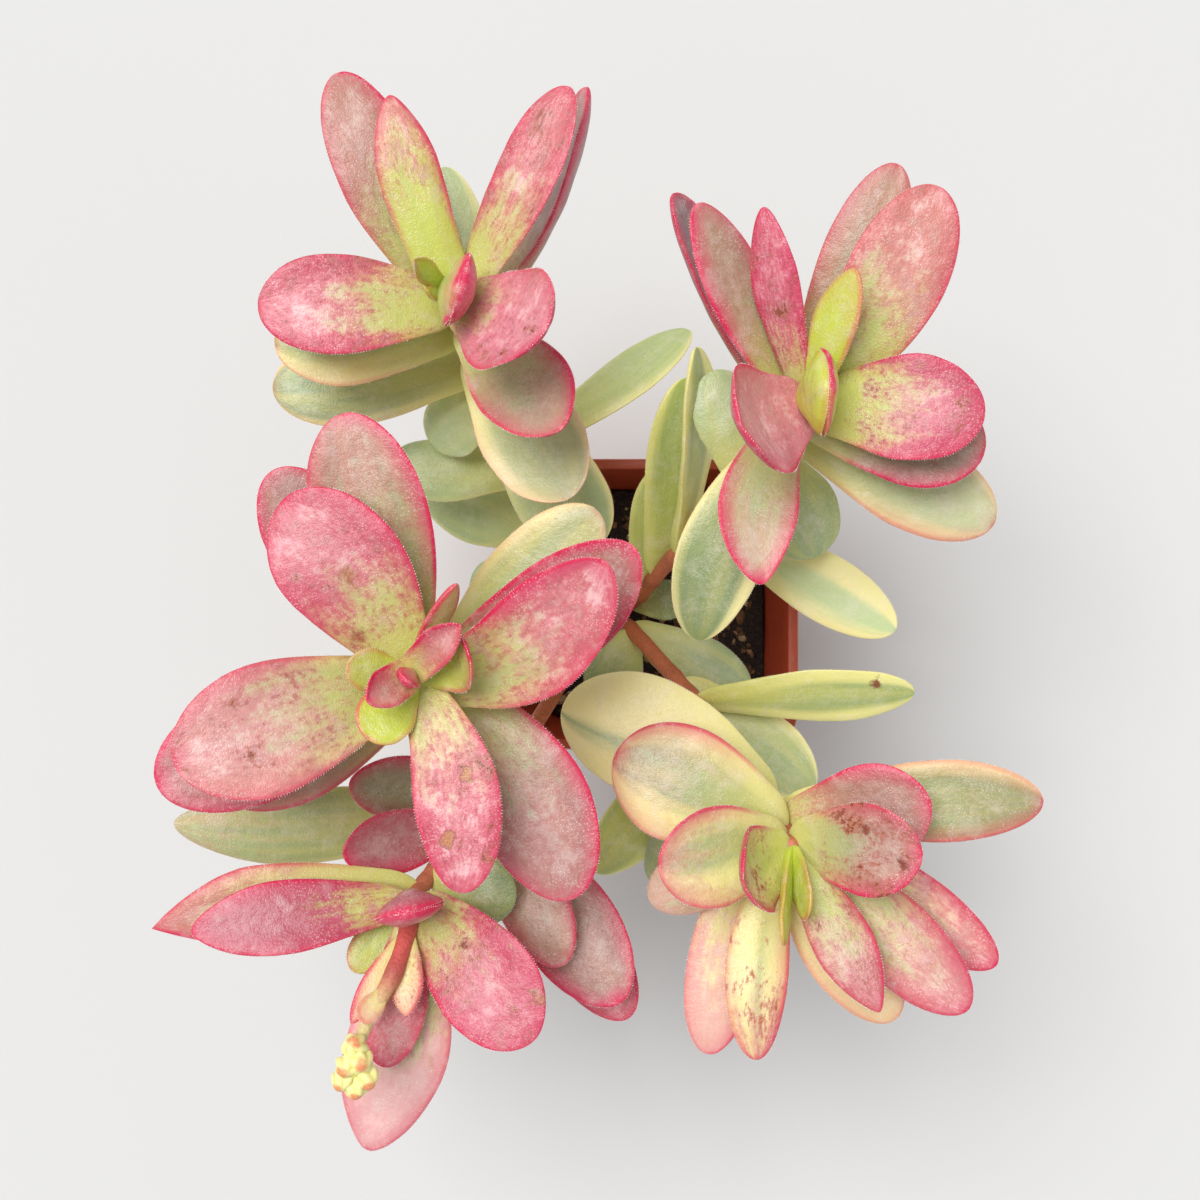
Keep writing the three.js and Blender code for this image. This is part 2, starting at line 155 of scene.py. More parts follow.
# Flower buds
BUD_GRID = (30, 20)
BUD_CENTRE = (-54.2, -80.3, 129.5)
BUD_PLACES = [(0, 3.9, 0.4), (1.1, 1.3, 1), (-1.2, 0.5, 0.8), (1.9, -1.7, 0), (-2, -1.9, 0), (0, -3.3, -0.4)]
BUD_RADIUS = 2.604
BUD_HALF_LENGTH = 2.205
BUD_TAPER = 0.38
BUD_PETALS = 5
BUD_TWIST = 1.2
BUD_FOLD = 0.16
BUD_TURN = 1.7
BUD_CREASE = (206, 196, 84)
# Painted glints where the bud's papillae catch the light
BUD_FROST = (255, 252, 226)

# The photograph's view, straight down
CAMERA_PLACE = (-0.0117, 0.0009, 0.390)
CAMERA_LENS = 45
LAMP_PLACE = (-0.28, 0.3, 0.87)
LAMP_SPREAD = math.radians(38)
SKY_COLOUR = (0.95, 0.97, 1.0, 1.0)
FLOOR_SIDE = 40


def leaf(at, tip, width, thick=3.4, face=None, bow=0, sway=0, roll=0, cup=0, neck=0.4, point=0.1,
         lime=0, cream=0, blush=0, reach=0.5, margin=0, dull=0, scar=0, pale=0, spots=()):
    """A leaf's form, as in the CAD model, and the weights of its colours.

    It stands on its stem at height `at`, and ends at `tip`. `face` is the bearing an upright leaf looks to.
    `point` draws a round tip out to a point.
    `blush` is pink from the tip down over the share `reach`.
    `cream` is the share of the blade's cream margins.
    `pale` is bluish and light where positive, partly a real paler tone and partly painted light,
    and a dark green of painted shade where negative, as on leaves deep in the plant.
    `spots` are the places of healed patches: the share along and across, and how corky each one is.
    """
    return locals()


def stem(path, leaves, tip_share=0.75):
    """A stem from the pot up, its leaves, and its thickness at the tip as a share of that at the foot."""
    return locals()


UPPER_LEFT_PATH = [(-13, 3, 34), (-23, 20, 72), (-35, 47, 100), (-37.5, 55, 128)]
UPPER_LEFT_LEAVES = [
    leaf(126, (-34.9, 53.1, 141), 13, thick=5, face=-18, point=0.35, lime=0.6, blush=0.3, reach=0.3,
         margin=1),
    leaf(126, (-34.6, 53, 141), 13, thick=5, face=162, point=0.35, lime=0.4, blush=1, reach=1, margin=1),
    leaf(126, (-42.5, 57.5, 141), 4.2, thick=1.6, bow=-1, point=0.7, lime=1, margin=0.3),
    leaf(124.5, (-48, 88.1, 131), 11, bow=2, sway=-1.2, roll=8, neck=0.75, point=0.5, lime=0.85, blush=0.8,
         reach=0.42, margin=0.7),
    leaf(124.5, (-20.4, 44.2, 149.4), 20, bow=-2, cup=1.6, point=0.25, lime=0.05, cream=0.15, blush=1,
         reach=0.85, margin=0.7, scar=0.3, pale=0.4),
    leaf(121, (-71, 51.6, 130), 17.4, bow=2.5, cup=1, lime=0.3, cream=0.15, blush=0.95, reach=0.62,
         margin=0.5, scar=0.3),
    leaf(121, (-17.4, 90, 130), 13, bow=2, sway=2.4, roll=-25, cup=1, lime=0.3, cream=0.1, blush=0.9,
         reach=0.68, margin=0.5, scar=0.2),
    leaf(116.5, (-57.6, 93.8, 126), 15.5, bow=3, sway=-2, roll=10, lime=0.45, cream=0.15, blush=0.7,
         reach=0.62, margin=0.9, dull=0.45),
    leaf(116.5, (-18.2, 30, 134), 17, bow=-2, cup=2, cream=0.1, blush=0.5, reach=0.55, margin=1, dull=0.35,
         pale=0.35),
    leaf(111.5, (-70.7, 47.2, 118), 18, bow=2, cup=1, lime=0.3, cream=0.55, reach=0.3, margin=0.3,
         pale=0.3),
    leaf(111.5, (-13.9, 92.6, 122), 15, bow=-4, roll=-62, cup=2, cream=0.3, blush=0.6, reach=0.9,
         margin=0.9, dull=0.85),
    leaf(105, (-17, 19.5, 116), 19, bow=-1, cup=1.5, cream=0.35, blush=0.12, margin=0.2, pale=0.5),
    leaf(105, (-54, 93, 112), 13, bow=2, cream=0.2, pale=0.8),
    leaf(99, (-74.3, 41, 103), 18, bow=1.5, cream=0.3, margin=0.15),
    leaf(99, (-42, 84.6, 100), 12, bow=1, cream=0.25, pale=0.6),
    leaf(94, (-45.4, 32, 88), 13, bow=1, cream=0.2, pale=0.6),
    leaf(91, (-12.3, 11.4, 88), 19, bow=2, cream=0.25, pale=0.5),
    leaf(84, (6.5, 56.6, 81), 12, bow=3, sway=3.5, roll=-35, lime=0.2, cream=0.3, pale=0.4),
    leaf(80, (-55.6, 27.8, 84), 13, bow=1, cream=0.2, pale=0.5),
    leaf(62, (-48.8, 23.2, 70), 14, bow=1, cream=0.2, pale=0.5),
    leaf(54, (-26, 27, 60), 12, bow=1, pale=-0.6),
    leaf(126, (-41.2, 53.8, 134), 3, thick=1.8, bow=-0.5, point=0.7, lime=1, margin=0.4),
]

UPPER_RIGHT_PATH = [(-8, 1.5, 34), (-4.5, 0.5, 52), (2, 8, 72), (22, 31, 102), (26, 36.5, 128)]
UPPER_RIGHT_LEAVES = [
    leaf(126, (26.1, 36.2, 142), 15, thick=5.4, face=0, point=0.55, lime=1, reach=0.4, margin=0.25),
    leaf(126, (26.4, 36.2, 142), 15, thick=4.6, face=180, point=0.55, lime=0.9, blush=0.1, reach=0.3,
         margin=1),
    leaf(126, (31.4, 56.8, 137), 9, thick=2.4, bow=1, roll=-35, point=0.4, lime=1, blush=0.2, reach=0.35,
         margin=0.45),
    leaf(125, (11, 28.9, 149), 20, bow=-3, cup=2, cream=0.1, blush=1.25, reach=1.3, margin=1, pale=0.5),
    leaf(122, (16.2, 68, 134), 9, bow=2, roll=-35, point=0.4, cream=0.1, blush=1, reach=0.8, margin=0.5,
         scar=0.3, pale=-0.2),
    leaf(122, (54.3, 32.9, 133), 18.3, bow=3, cup=1, lime=0.4, blush=1.05, reach=0.58, margin=0.6,
         scar=0.4, pale=-0.6),
    leaf(121, (46.2, 72.2, 132), 17.5, bow=2, sway=2, cup=1, lime=0.35, blush=0.8, reach=0.6, margin=0.5),
    leaf(117, (5.2, 69.7, 130), 12, bow=2, sway=-1.5, roll=20, lime=0.12, cream=0.1, blush=0.5, reach=0.65,
         margin=1, dull=0.5, pale=-0.5),
    leaf(117, (16.8, 3.6, 126), 14.5, bow=1, sway=4, cup=1.5, point=0.5, cream=0.1, blush=0.45, margin=1,
         dull=0.15, pale=0.4),
    leaf(117, (56.3, 27.2, 125), 18.5, bow=2, cup=1, cream=0.2, blush=0.4, margin=0.9, dull=0.6),
    # Its grey-rose weight above 1 is painted shade on this edge-on leaf's face
    leaf(111, (1.2, 73, 124), 14, bow=-2, roll=48, cup=2, blush=0.65, reach=0.9, margin=0.9, dull=1.3),
    leaf(112, (41, 78.3, 124), 14, bow=2, cream=0.2, blush=0.5, reach=0.6, margin=0.4, dull=0.35),
    leaf(109, (60.9, 15, 114), 17.5, bow=3, cream=0.35, blush=0.15, margin=0.35, pale=0.8),
    leaf(108, (7, -6.7, 106), 16, bow=3, sway=3, cream=0.4, pale=-0.45),
    leaf(100, (31, 9.5, 96), 16, bow=1, pale=0.2),
    leaf(92, (10.8, 46, 96), 13, bow=1, pale=0.5),
    leaf(84, (48.2, -5.2, 86), 13.5, bow=2, cream=0.7, pale=1.1),
    leaf(76, (7, 50.1, 98), 13, bow=2, roll=60, cup=1, lime=0.3, cream=0.55),
    leaf(68, (5.6, 45.6, 88), 14, bow=2, roll=20, lime=0.4, cream=0.4),
    leaf(60, (3.9, 30.7, 68), 13, bow=1, lime=0.4, cream=0.3),
    leaf(50, (8.6, 1.4, 54), 9, cup=1.5, pale=-0.6),
]

LEFT_PATH = [(-14, -3, 34), (-20, -5, 68), (-38, -11, 98), (-46, -13.5, 118), (-43.5, -11.2, 138)]
LEFT_LEAVES = [
    leaf(137, (-43, -12.2, 147), 4.4, thick=3, face=45, cream=0.6, blush=0.7, reach=1, margin=1),
    leaf(137, (-49.2, -15.6, 148), 6.8, thick=2, cup=1.2, neck=0.85, point=0.3, cream=0.6, blush=0.7,
         reach=0.8, margin=1),
    leaf(137, (-34.2, -3.1, 149), 6.4, thick=2, cup=1.2, neck=0.85, point=0.5, cream=0.5, blush=0.75,
         reach=0.75, margin=1),
    leaf(134, (-53.9, -10.4, 141), 7.5, thick=2, lime=0.8, margin=0.4),
    leaf(135, (-49.8, -22.6, 141), 10, thick=2, lime=1, margin=0.6),
    leaf(135, (-35.2, 3.6, 143), 6, thick=2.4, roll=60, point=0.6, lime=0.7, blush=0.3, margin=0.9),
    leaf(134, (-32.8, -8.6, 147), 10.5, thick=2, bow=-2.5, cup=0.5, lime=0.8, blush=0.3, reach=0.3,
         margin=1),
    leaf(133, (-65.4, 16.6, 140), 21, bow=3, sway=2.8, cup=1, lime=0.12, cream=0.1, blush=0.95, reach=0.7,
         margin=0.7, scar=0.2, pale=-0.45, spots=((0.3, -0.6, 0.3), (0.57, 0.05, 0.5))),
    leaf(133, (-35.2, -48.3, 138), 14.6, bow=3, sway=-3.8, cup=1, point=0.15, lime=0.1, cream=0.3,
         blush=0.95, reach=0.72, margin=0.6, scar=0.7, spots=((0.5, -0.3, 1), (0.76, 0.25, 0.9))),
    leaf(128, (-10.9, 7.2, 150), 18, bow=-1, sway=6, cup=2, cream=0.25, blush=0.9, reach=0.6, margin=1),
    leaf(127, (-81.7, -25.9, 144), 22, bow=3, cup=1, cream=0.4, blush=0.8, reach=0.65, margin=0.6,
         dull=0.05, scar=0.3, pale=0.3),
    leaf(122, (-55.4, 32.5, 136), 20.5, bow=3, sway=1, cup=1, cream=0.15, blush=0.6, reach=0.45,
         margin=0.9, dull=0.3),
    leaf(121, (-17.4, -51.9, 127), 21, bow=3, sway=-5.5, cream=0.1, blush=0.7, reach=0.6, margin=0.9,
         dull=0.5),
    leaf(117, (-5.8, 9.8, 138), 19, bow=-1, sway=3.5, cup=2, blush=0.7, reach=0.8, margin=1, dull=0.5),
    leaf(117, (-88, -31, 132), 21, bow=2, cup=1, blush=0.8, reach=0.9, margin=1, dull=0.4),
    leaf(112, (-69.6, 23.6, 126), 19, bow=2, blush=0.6, reach=0.8, margin=0.9, dull=0.6),
    leaf(107, (-79.7, -35.4, 116), 17, bow=2, cream=0.3, blush=0.3, margin=0.6, dull=0.2),
    leaf(106, (-12.1, 17.2, 116), 17, bow=1, lime=0.15, cream=0.4, blush=0.1, margin=0.2, pale=0.2),
    leaf(88, (-34.4, 9, 86), 9, bow=1, pale=0.4),
]

LOWER_LEFT_PATH = [(-16, -9, 34), (-22, -20, 66), (-38, -44, 95), (-46, -54, 108), (-46.2, -55, 117)]
LOWER_LEFT_LEAVES = [
    leaf(115, (-45.05, -53.3, 130), 12.5, thick=4.8, face=283, point=0.6, blush=1, reach=1, margin=1,
         dull=0.3),
    leaf(115, (-44.95, -53.5, 130), 12.5, thick=4.8, face=103, point=0.6, blush=1, reach=1, margin=1,
         dull=0.3),
    leaf(112, (-85, -58.5, 121), 13.5, bow=2, roll=15, cup=1, point=0.5, lime=0.18, blush=1.15, reach=0.8,
         margin=0.8, dull=0.3, pale=-1),
    leaf(112, (-24.1, -77.6, 125), 19, bow=2, sway=-1.5, cup=1, cream=0.1, blush=1, reach=0.75, margin=0.6,
         scar=0.3, pale=-0.6, spots=((0.84, -0.85, 0.6), (0.42, -0.1, 0))),
    leaf(107, (-93.3, -58.9, 117), 14.5, bow=3, sway=2, point=1, lime=0.25, cream=0.7, blush=0.75,
         reach=0.4, margin=0.9, dull=0.2, pale=-0.3),
    leaf(107, (-55, -101.4, 111), 19, bow=3, sway=-2, point=0.45, cream=0.3, blush=0.85, reach=0.62,
         margin=0.45, pale=0.95),
    leaf(110, (-57.2, -67.1, 115), 8, thick=2, lime=0.6, margin=0.35),
    leaf(109.5, (-42.6, -72.6, 114.6), 6, thick=2, lime=0.3),
    leaf(88, (-92.4, -41.3, 106), 15, bow=1, sway=-3, point=0.4, cream=0.15, blush=0.3, reach=0.2,
         pale=0.2),
    leaf(104, (-27.5, -55.5, 108), 13, bow=1, pale=-0.5),
    leaf(95, (-18.8, -68.2, 107), 13.5, bow=2, sway=-2.5, blush=0.5, reach=0.7, margin=0.8, dull=0.4),
    leaf(94, (-59.3, -46.4, 112), 12.5, bow=-1, cup=1.5, blush=0.9, reach=0.9, margin=1, dull=0.5,
         pale=-0.4),
    leaf(90, (-7.5, -75.8, 104), 19, bow=2, blush=0.6, reach=0.8, margin=1, dull=0.6),
    leaf(88, (-58.7, -33.6, 109), 12.5, bow=-1, cup=1.5, blush=0.12, reach=0.9, margin=0.85, dull=0.5,
         pale=-0.6),
    leaf(85, (-5.9, -81, 96), 17, bow=2, sway=1.5, blush=0.9, reach=0.9, margin=0.8),
]

LOWER_RIGHT_PATH = [
    (-5, -8, 34), (-5.1, -5.4, 56), (7.9, -19.8, 80), (16.8, -30.6, 94), (22, -40, 106), (23, -44, 120),
]
LOWER_RIGHT_LEAVES = [
    leaf(119, (19.9, -58.3, 132), 8, thick=2, roll=-70, lime=1, margin=0.5),
    leaf(119, (24.2, -53.8, 131), 8, thick=2, roll=70, lime=1, blush=0.1, margin=0.5),
    leaf(118, (12.4, -46.8, 138.5), 15, thick=2.4, bow=-2, cup=2, lime=0.55, cream=0.7, blush=0.8,
         reach=0.32, margin=1, scar=1.2),
    leaf(117, (37.2, -71.1, 128), 11, bow=2, point=0.7, lime=0.5, blush=0.85, reach=0.55, margin=0.6,
         dull=0.3, scar=0.8),
    leaf(116, (43.6, -42.6, 133), 16.5, bow=1, cup=1, cream=0.25, blush=0.6, reach=0.6, margin=0.9,
         dull=0.45, scar=1.6, spots=((0.62, -0.4, 0), (0.88, 0.25, 0))),
    leaf(115, (-1.6, -45.5, 130), 18, bow=1, cup=1, cream=0.75, blush=0.5, reach=0.35, margin=0.8,
         pale=0.2),
    leaf(113, (16.6, -81.9, 120), 11.5, bow=2, sway=2.5, point=0.15, cream=0.95, blush=0.75, reach=0.2,
         margin=0.6, scar=0.45, pale=-0.15),
    leaf(112, (54.1, -72.4, 122), 15, bow=2, cup=-1, cream=0.4, blush=0.85, reach=0.45, margin=0.7,
         pale=0.25),
    leaf(112, (-9.3, -28.6, 112), 22, bow=3, sway=1, cup=-1, cream=0.6, blush=0.25, margin=0.65,
         pale=-0.1),
    leaf(109, (43.1, -76.4, 113), 15, bow=2, sway=2, cream=1.2, blush=0.3, margin=0.4, pale=0.3),
    leaf(108.7, (47.7, -35.4, 121), 18, bow=1, cup=1, cream=0.2, blush=0.6, reach=0.9, margin=0.9,
         dull=0.5),
    leaf(105, (69.6, -36.2, 115), 15, bow=3, sway=-1.5, cream=0.35, blush=0.15, margin=0.5, pale=-0.5),
    leaf(109.3, (-2.4, -55.6, 109), 13, bow=2, blush=0.6, reach=0.4, pale=0.5),
    leaf(104, (8.6, -84.2, 109), 14, bow=2, sway=2, cream=1.2, blush=0.75, reach=0.55, margin=0.5,
         pale=0.8),
    leaf(104, (61.6, -66.5, 113), 13, bow=2, cream=0.8, blush=0.85, margin=0.8, pale=0.1),
    leaf(104, (-19.1, -20.2, 102), 23, bow=3, sway=2.5, cup=-1, cream=0.95, pale=0.3),
    leaf(90, (-0.7, -58.1, 76), 11, bow=2, pale=-0.5),
    leaf(86, (-12.8, -56.8, 72), 13, bow=2, lime=0.5, cream=0.3),
    leaf(80, (52.4, -18.1, 84), 12.5, bow=2, sway=-1.5, roll=30, lime=0.3, cream=0.6,
         spots=((0.82, -0.6, 0),)),
    leaf(75, (33, -39.6, 74), 16, bow=2, cream=0.4, pale=0.3),
    leaf(58, (-11.7, -21, 60), 13, bow=1, pale=-0.6),
    leaf(54, (21.1, -19.2, 61), 13, bow=1, pale=0.1),
]

STALK_PATH = [(-46, -55.5, 112), (-48.3, -65.2, 121.5), (-53, -74.2, 126.6), (-54, -78.4, 128.6)]
STALK_LEAVES = [
    leaf(113, (-51, -84, 117.5), 11.5, thick=2.2, blush=0.9, reach=0.9, margin=0.8),
    leaf(116, (-56, -74.5, 123), 5, thick=1.6, bow=1, point=0.5, cream=1.2, blush=0.5, reach=0.35,
         margin=0.9),
    leaf(116, (-46, -73, 123.5), 6, thick=1.6, bow=1, point=0.5, lime=0.2, cream=1.2, blush=0.3,
         margin=0.6, scar=0.6),
    leaf(123.5, (-53.4, -72.6, 128.6), 4.5, thick=1.6, cream=1.2, blush=0.3, reach=0.4, margin=0.4),
]

PLANT = {
    "stem_upper_left": stem(UPPER_LEFT_PATH, UPPER_LEFT_LEAVES),
    "stem_upper_right": stem(UPPER_RIGHT_PATH, UPPER_RIGHT_LEAVES),
    "stem_left": stem(LEFT_PATH, LEFT_LEAVES),
    "stem_lower_left": stem(LOWER_LEFT_PATH, LOWER_LEFT_LEAVES),
    "stem_lower_right": stem(LOWER_RIGHT_PATH, LOWER_RIGHT_LEAVES),
}
STALK = stem(STALK_PATH, STALK_LEAVES, tip_share=0.5)


def shade(red, green, blue):
    """A colour as an eye reads it, out of 255, as Blender's linear colour."""
    parts = [value / 255 for value in (red, green, blue)]
    linear = [value / 12.92 if value <= 0.04045 else ((value + 0.055) / 1.055) ** 2.4 for value in parts]
    return (*linear, 1.0)


def colour_property(name, description, tone):
    return bpy.props.FloatVectorProperty(
        name=name, description=description, default=shade(*tone), subtype="COLOR", size=4, min=0, max=1
    )


def length_property(name, description, size):
    return bpy.props.FloatProperty(name=name, description=description, default=size, min=0, unit="LENGTH")


class PotSettings(bpy.types.PropertyGroup):
    rim_side: length_property("Rim side", "Side of the square rim", POT_HIGH.x - POT_LOW.x)
    height: length_property("Height", "Height of the pot", POT_HIGH.z - POT_LOW.z)
    wall: length_property("Wall", "Thickness of the moulded wall", 1.2 * MM)
    corner: length_property("Corner", "Radius of the upright corners at the base", 6.2 * MM)
    plastic: colour_property("Plastic", "Terracotta-coloured plastic", (182, 74, 46))


class SoilSettings(bpy.types.PropertyGroup):
    level: length_property("Level", "Height of the potting mix", 40 * MM)
    bit_count: bpy.props.IntProperty(name="Bits", description="Loose bits on the mix", default=640, min=0)
    mix: colour_property("Mix", "Damp peat", (44, 31, 24))
    bark: colour_property("Bark", "Bark chips", (140, 100, 62))
    grit: colour_property("Grit", "Pale mineral grit", (190, 166, 128))


class LeafSettings(bpy.types.PropertyGroup):
    green: colour_property("Green", "Grey-green centre of a blade", (146, 164, 118))
    base: colour_property("Base", "Yellow-green foot of a blade", (204, 198, 112))
    cream: colour_property("Cream", "Cream margin of a variegated blade", (250, 238, 166))
    lime: colour_property("Lime", "Young growth", (192, 206, 66))
    # Pale is a paler tone that also paints light on low leaves in shade; olive is painted shade on leaves
    # deep in the plant
    pale: colour_property("Pale", "Low shaded leaves", (202, 218, 158))
    olive: colour_property("Olive", "Leaves deep in the plant", (116, 134, 70))
    blush: colour_property("Blush", "Pink blush", (208, 91, 113))
    deep_blush: colour_property("Deep blush", "Blotches in the blush", (178, 44, 76))
    pale_pink: colour_property("Pale pink", "Haze of the blush, and pale leaves", (236, 178, 184))
    warm_margin: colour_property("Warm margin", "Soft pink band inside the margin", (206, 66, 98))
    margin: colour_property("Margin", "Thin hot pink margin", (208, 34, 78))
    # Dull: the grey rose of older faces, made darker to serve also as painted shade
    dull: colour_property("Dull", "Grey rose of older faces", (120, 92, 98))
    scar: colour_property("Scar", "Dry scars", (124, 52, 34))
    rust: colour_property("Rust", "Scars on cream blades", (196, 104, 44))
    cork: colour_property("Cork", "Pale corky rims and middles of scars", (206, 146, 98))
    # Frost: the white of bloom and papillae, used also for painted sheen and painted glints
    frost: colour_property("Frost", "Bloom, and papillae that catch the light", (250, 236, 226))
    papilla_gap: length_property("Papilla gap", "Distance from one papilla to the next", 0.42 * MM)


class StemSettings(bpy.types.PropertyGroup):
    bark: colour_property("Bark", "Orange-brown stem", (188, 104, 64))
    young: colour_property("Young", "Rosy upper stem", (206, 122, 96))
    stalk: colour_property("Stalk", "Rosy foot of the flower stalk", (206, 92, 84))
    calyx: colour_property("Calyx", "Cream end of the flower stalk", (214, 196, 136))
    bud: colour_property("Bud", "Pale yellow flower bud", (244, 234, 158))
    bud_tip: colour_property("Bud tip", "Peach bud tip", (226, 122, 86))


class StageSettings(bpy.types.PropertyGroup):
    floor: colour_property("Floor", "Plain floor", (210, 209, 207))
    lamp_power: bpy.props.FloatProperty(name="Lamp power", description="Broad soft lamp", default=2.8, min=0)
    sky_strength: bpy.props.FloatProperty(
        name="Sky", description="Even light from all round", default=0.57, min=0
    )


def clear_selection():
    if bpy.context.object and bpy.context.object.mode != "OBJECT":
        bpy.ops.object.mode_set(mode="OBJECT")
    bpy.ops.object.select_all(action="DESELECT")


def pick(*pieces):
    """Selects these pieces alone, with the first one active."""
    clear_selection()
    for piece in pieces:
        piece.select_set(True)
    bpy.context.view_layer.objects.active = pieces[0]


def apply_modifier(piece, kind, **settings):
    pick(piece)
    modifier = piece.modifiers.new(kind.lower(), kind)
    for name, value in settings.items():
        setattr(modifier, name, value)
    bpy.ops.object.modifier_apply(modifier=modifier.name)


def finish_piece(piece, name, material, slot, *nodes):
    """Names a piece, leaves its place in its mesh, and hands it to the frame for its CAD nodes."""
    pick(piece)
    bpy.ops.object.transform_apply(location=True, rotation=True, scale=True)
    piece.name = name
    piece.data.name = name
    piece.data.materials.clear()
    piece.data.materials.append(material)
    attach(piece, "root")
    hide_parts(*nodes)


def join_pieces(pieces):
    pick(*pieces)
    bpy.ops.object.join()
    return pieces[0]


def copy_of(blank):
    piece = bpy.data.objects.new("copy", blank.data.copy())
    bpy.context.collection.objects.link(piece)
    return piece


def remove(piece):
    mesh = piece.data
    bpy.data.objects.remove(piece)
    bpy.data.meshes.remove(mesh)


def shade_smooth(piece, angle=180):
    pick(piece)
    bpy.ops.object.shade_smooth_by_angle(angle=math.radians(angle))


def store(mesh, name, columns):
    """Keeps three numbers a vertex under a name, for the materials."""
    attribute = mesh.attributes.new(name, "FLOAT_VECTOR", "POINT")
    table = np.stack([np.broadcast_to(column, len(mesh.vertices)) for column in columns], axis=1)
    attribute.data.foreach_set("vector", table.astype(np.float32).ravel())


def set_vertices(mesh, points):
    mesh.vertices.foreach_set("co", np.asarray(points, np.float32).ravel())
    mesh.update()


def vertices_of(mesh):
    flat = np.empty(len(mesh.vertices) * 3)
    mesh.vertices.foreach_get("co", flat)
    return flat.reshape(-1, 3)


def unit(vectors):
    return vectors / np.linalg.norm(vectors, axis=-1, keepdims=True)


def wave(first, second, third):
    """Smooth noise at each place of three lists of numbers, the same each run."""
    places = zip(*np.broadcast_arrays(first, second, third))
    return np.array([noise.noise(Vector(place)) for place in places])


def round_blank(segments, rings):
    """A closed round blank, to be drawn out: its poles become the two ends."""
    clear_selection()
    bpy.ops.mesh.primitive_uv_sphere_add(segments=segments, ring_count=rings, radius=1, calc_uvs=False)
    return bpy.context.object


def blank_shares(mesh):
    """How far along, how far across and how far up each vertex of a blank lies."""
    x, y, z = vertices_of(mesh).T
    radius = np.hypot(x, y)
    inside = np.maximum(radius, 1e-6)
    return (z + 1) / 2, np.where(radius > 1e-4, x / inside, 0), np.where(radius > 1e-4, y / inside, 0)


# Patterns for the materials
class Pattern:
    """A value that changes over a surface. Sums and products of patterns become math nodes."""

    def __init__(self, tree, socket):
        self.tree = tree
        self.socket = socket

    def __add__(self, other):
        return maths("ADD", self, other)

    def __sub__(self, other):
        return maths("SUBTRACT", self, other)

    def __rsub__(self, other):
        return maths("SUBTRACT", other, self)

    def __mul__(self, other):
        return maths("MULTIPLY", self, other)

    def __rtruediv__(self, other):
        return maths("DIVIDE", other, self)


def node(tree, kind, inputs, **settings):
    """A node with its settings and its inputs, which are patterns or constants."""
    made = tree.nodes.new(kind)
    for name, value in settings.items():
        setattr(made, name, value)
    for key, value in inputs.items():
        if isinstance(value, Pattern):
            tree.links.new(value.socket, made.inputs[key])
        else:
            made.inputs[key].default_value = value
    return made


def pattern(kind, output, inputs, **settings):
    """One output of a new node, which goes into the tree of its own inputs."""
    tree = next(value.tree for value in inputs.values() if isinstance(value, Pattern))
    return Pattern(tree, node(tree, kind, inputs, **settings).outputs[output])


def maths(operation, first, second=0.0, clamp=False):
    return pattern("ShaderNodeMath", 0, {0: first, 1: second}, operation=operation, use_clamp=clamp)


def smooth(value, low, high):
    """0 up to low and 1 from high, with a soft step between."""
    inputs = {"Value": value, "From Min": low, "From Max": high}
    return pattern("ShaderNodeMapRange", 0, inputs, interpolation_type="SMOOTHSTEP")


def mix(share, first, second):
    inputs = {0: share, 6: first, 7: second}
    return pattern("ShaderNodeMix", 2, inputs, data_type="RGBA", clamp_factor=True)


def cloud(place, scale, detail=3.0, roughness=0.55):
    inputs = {"Vector": place, "Scale": scale, "Detail": detail, "Roughness": roughness}
    return pattern("ShaderNodeTexNoise", 0, inputs)


def stored_vector(tree, name):
    kept = node(tree, "ShaderNodeAttribute", {}, attribute_name=name, attribute_type="GEOMETRY")
    return Pattern(tree, kept.outputs["Vector"])


def parts_of(vector):
    parts = node(vector.tree, "ShaderNodeSeparateXYZ", {0: vector}).outputs
    return [Pattern(vector.tree, part) for part in parts]


def stored(tree, name):
    """The three numbers that store() kept under a name."""
    return parts_of(stored_vector(tree, name))


def object_place(tree):
    return Pattern(tree, node(tree, "ShaderNodeTexCoord", {}).outputs["Object"])


def darker(colour, share):
    return (*(share * value for value in colour[:3]), 1.0)


def halfway(first, second):
    return tuple((a + b) / 2 for a, b in zip(first, second))


def new_material(name, **constants):
    material = bpy.data.materials.new(name)
    material.use_nodes = True
    surface = material.node_tree.nodes["Principled BSDF"]
    for socket, value in constants.items():
        surface.inputs[socket.replace("_", " ")].default_value = value
    return material, material.node_tree, surface


def finish_surface(surface, colour, roughness, height, depth):
    """Feeds the surface its colour, its roughness and a bump of the given depth."""
    links = colour.tree.links
    links.new(colour.socket, surface.inputs["Base Color"])
    links.new(roughness.socket, surface.inputs["Roughness"])
    bump = node(colour.tree, "ShaderNodeBump", {"Height": height, "Distance": depth, "Strength": 1.0})
    links.new(bump.outputs[0], surface.inputs["Normal"])


def node_group(name, size, build):
    """The group of a name, built once from a place and a size by a function that gives its outputs."""
    if name in bpy.data.node_groups:
        return bpy.data.node_groups[name]
    group = bpy.data.node_groups.new(name, "ShaderNodeTree")
    group.interface.new_socket("Place", in_out="INPUT", socket_type="NodeSocketVector")
    group.interface.new_socket(size, in_out="INPUT", socket_type="NodeSocketFloat")
    given = group.nodes.new("NodeGroupInput").outputs
    outputs = build(Pattern(group, given["Place"]), Pattern(group, given[size]))
    for label in outputs:
        group.interface.new_socket(label, in_out="OUTPUT", socket_type="NodeSocketFloat")
    made = group.nodes.new("NodeGroupOutput").inputs
    for label, value in outputs.items():
        group.links.new(value.socket, made[label])
    return group


def use_group(group, place, **values):
    """A group placed in a material with its own values: its outputs, in their order."""
    made = node(place.tree, "ShaderNodeGroup", {"Place": place, **values}, node_tree=group)
    return [Pattern(place.tree, output) for output in made.outputs]


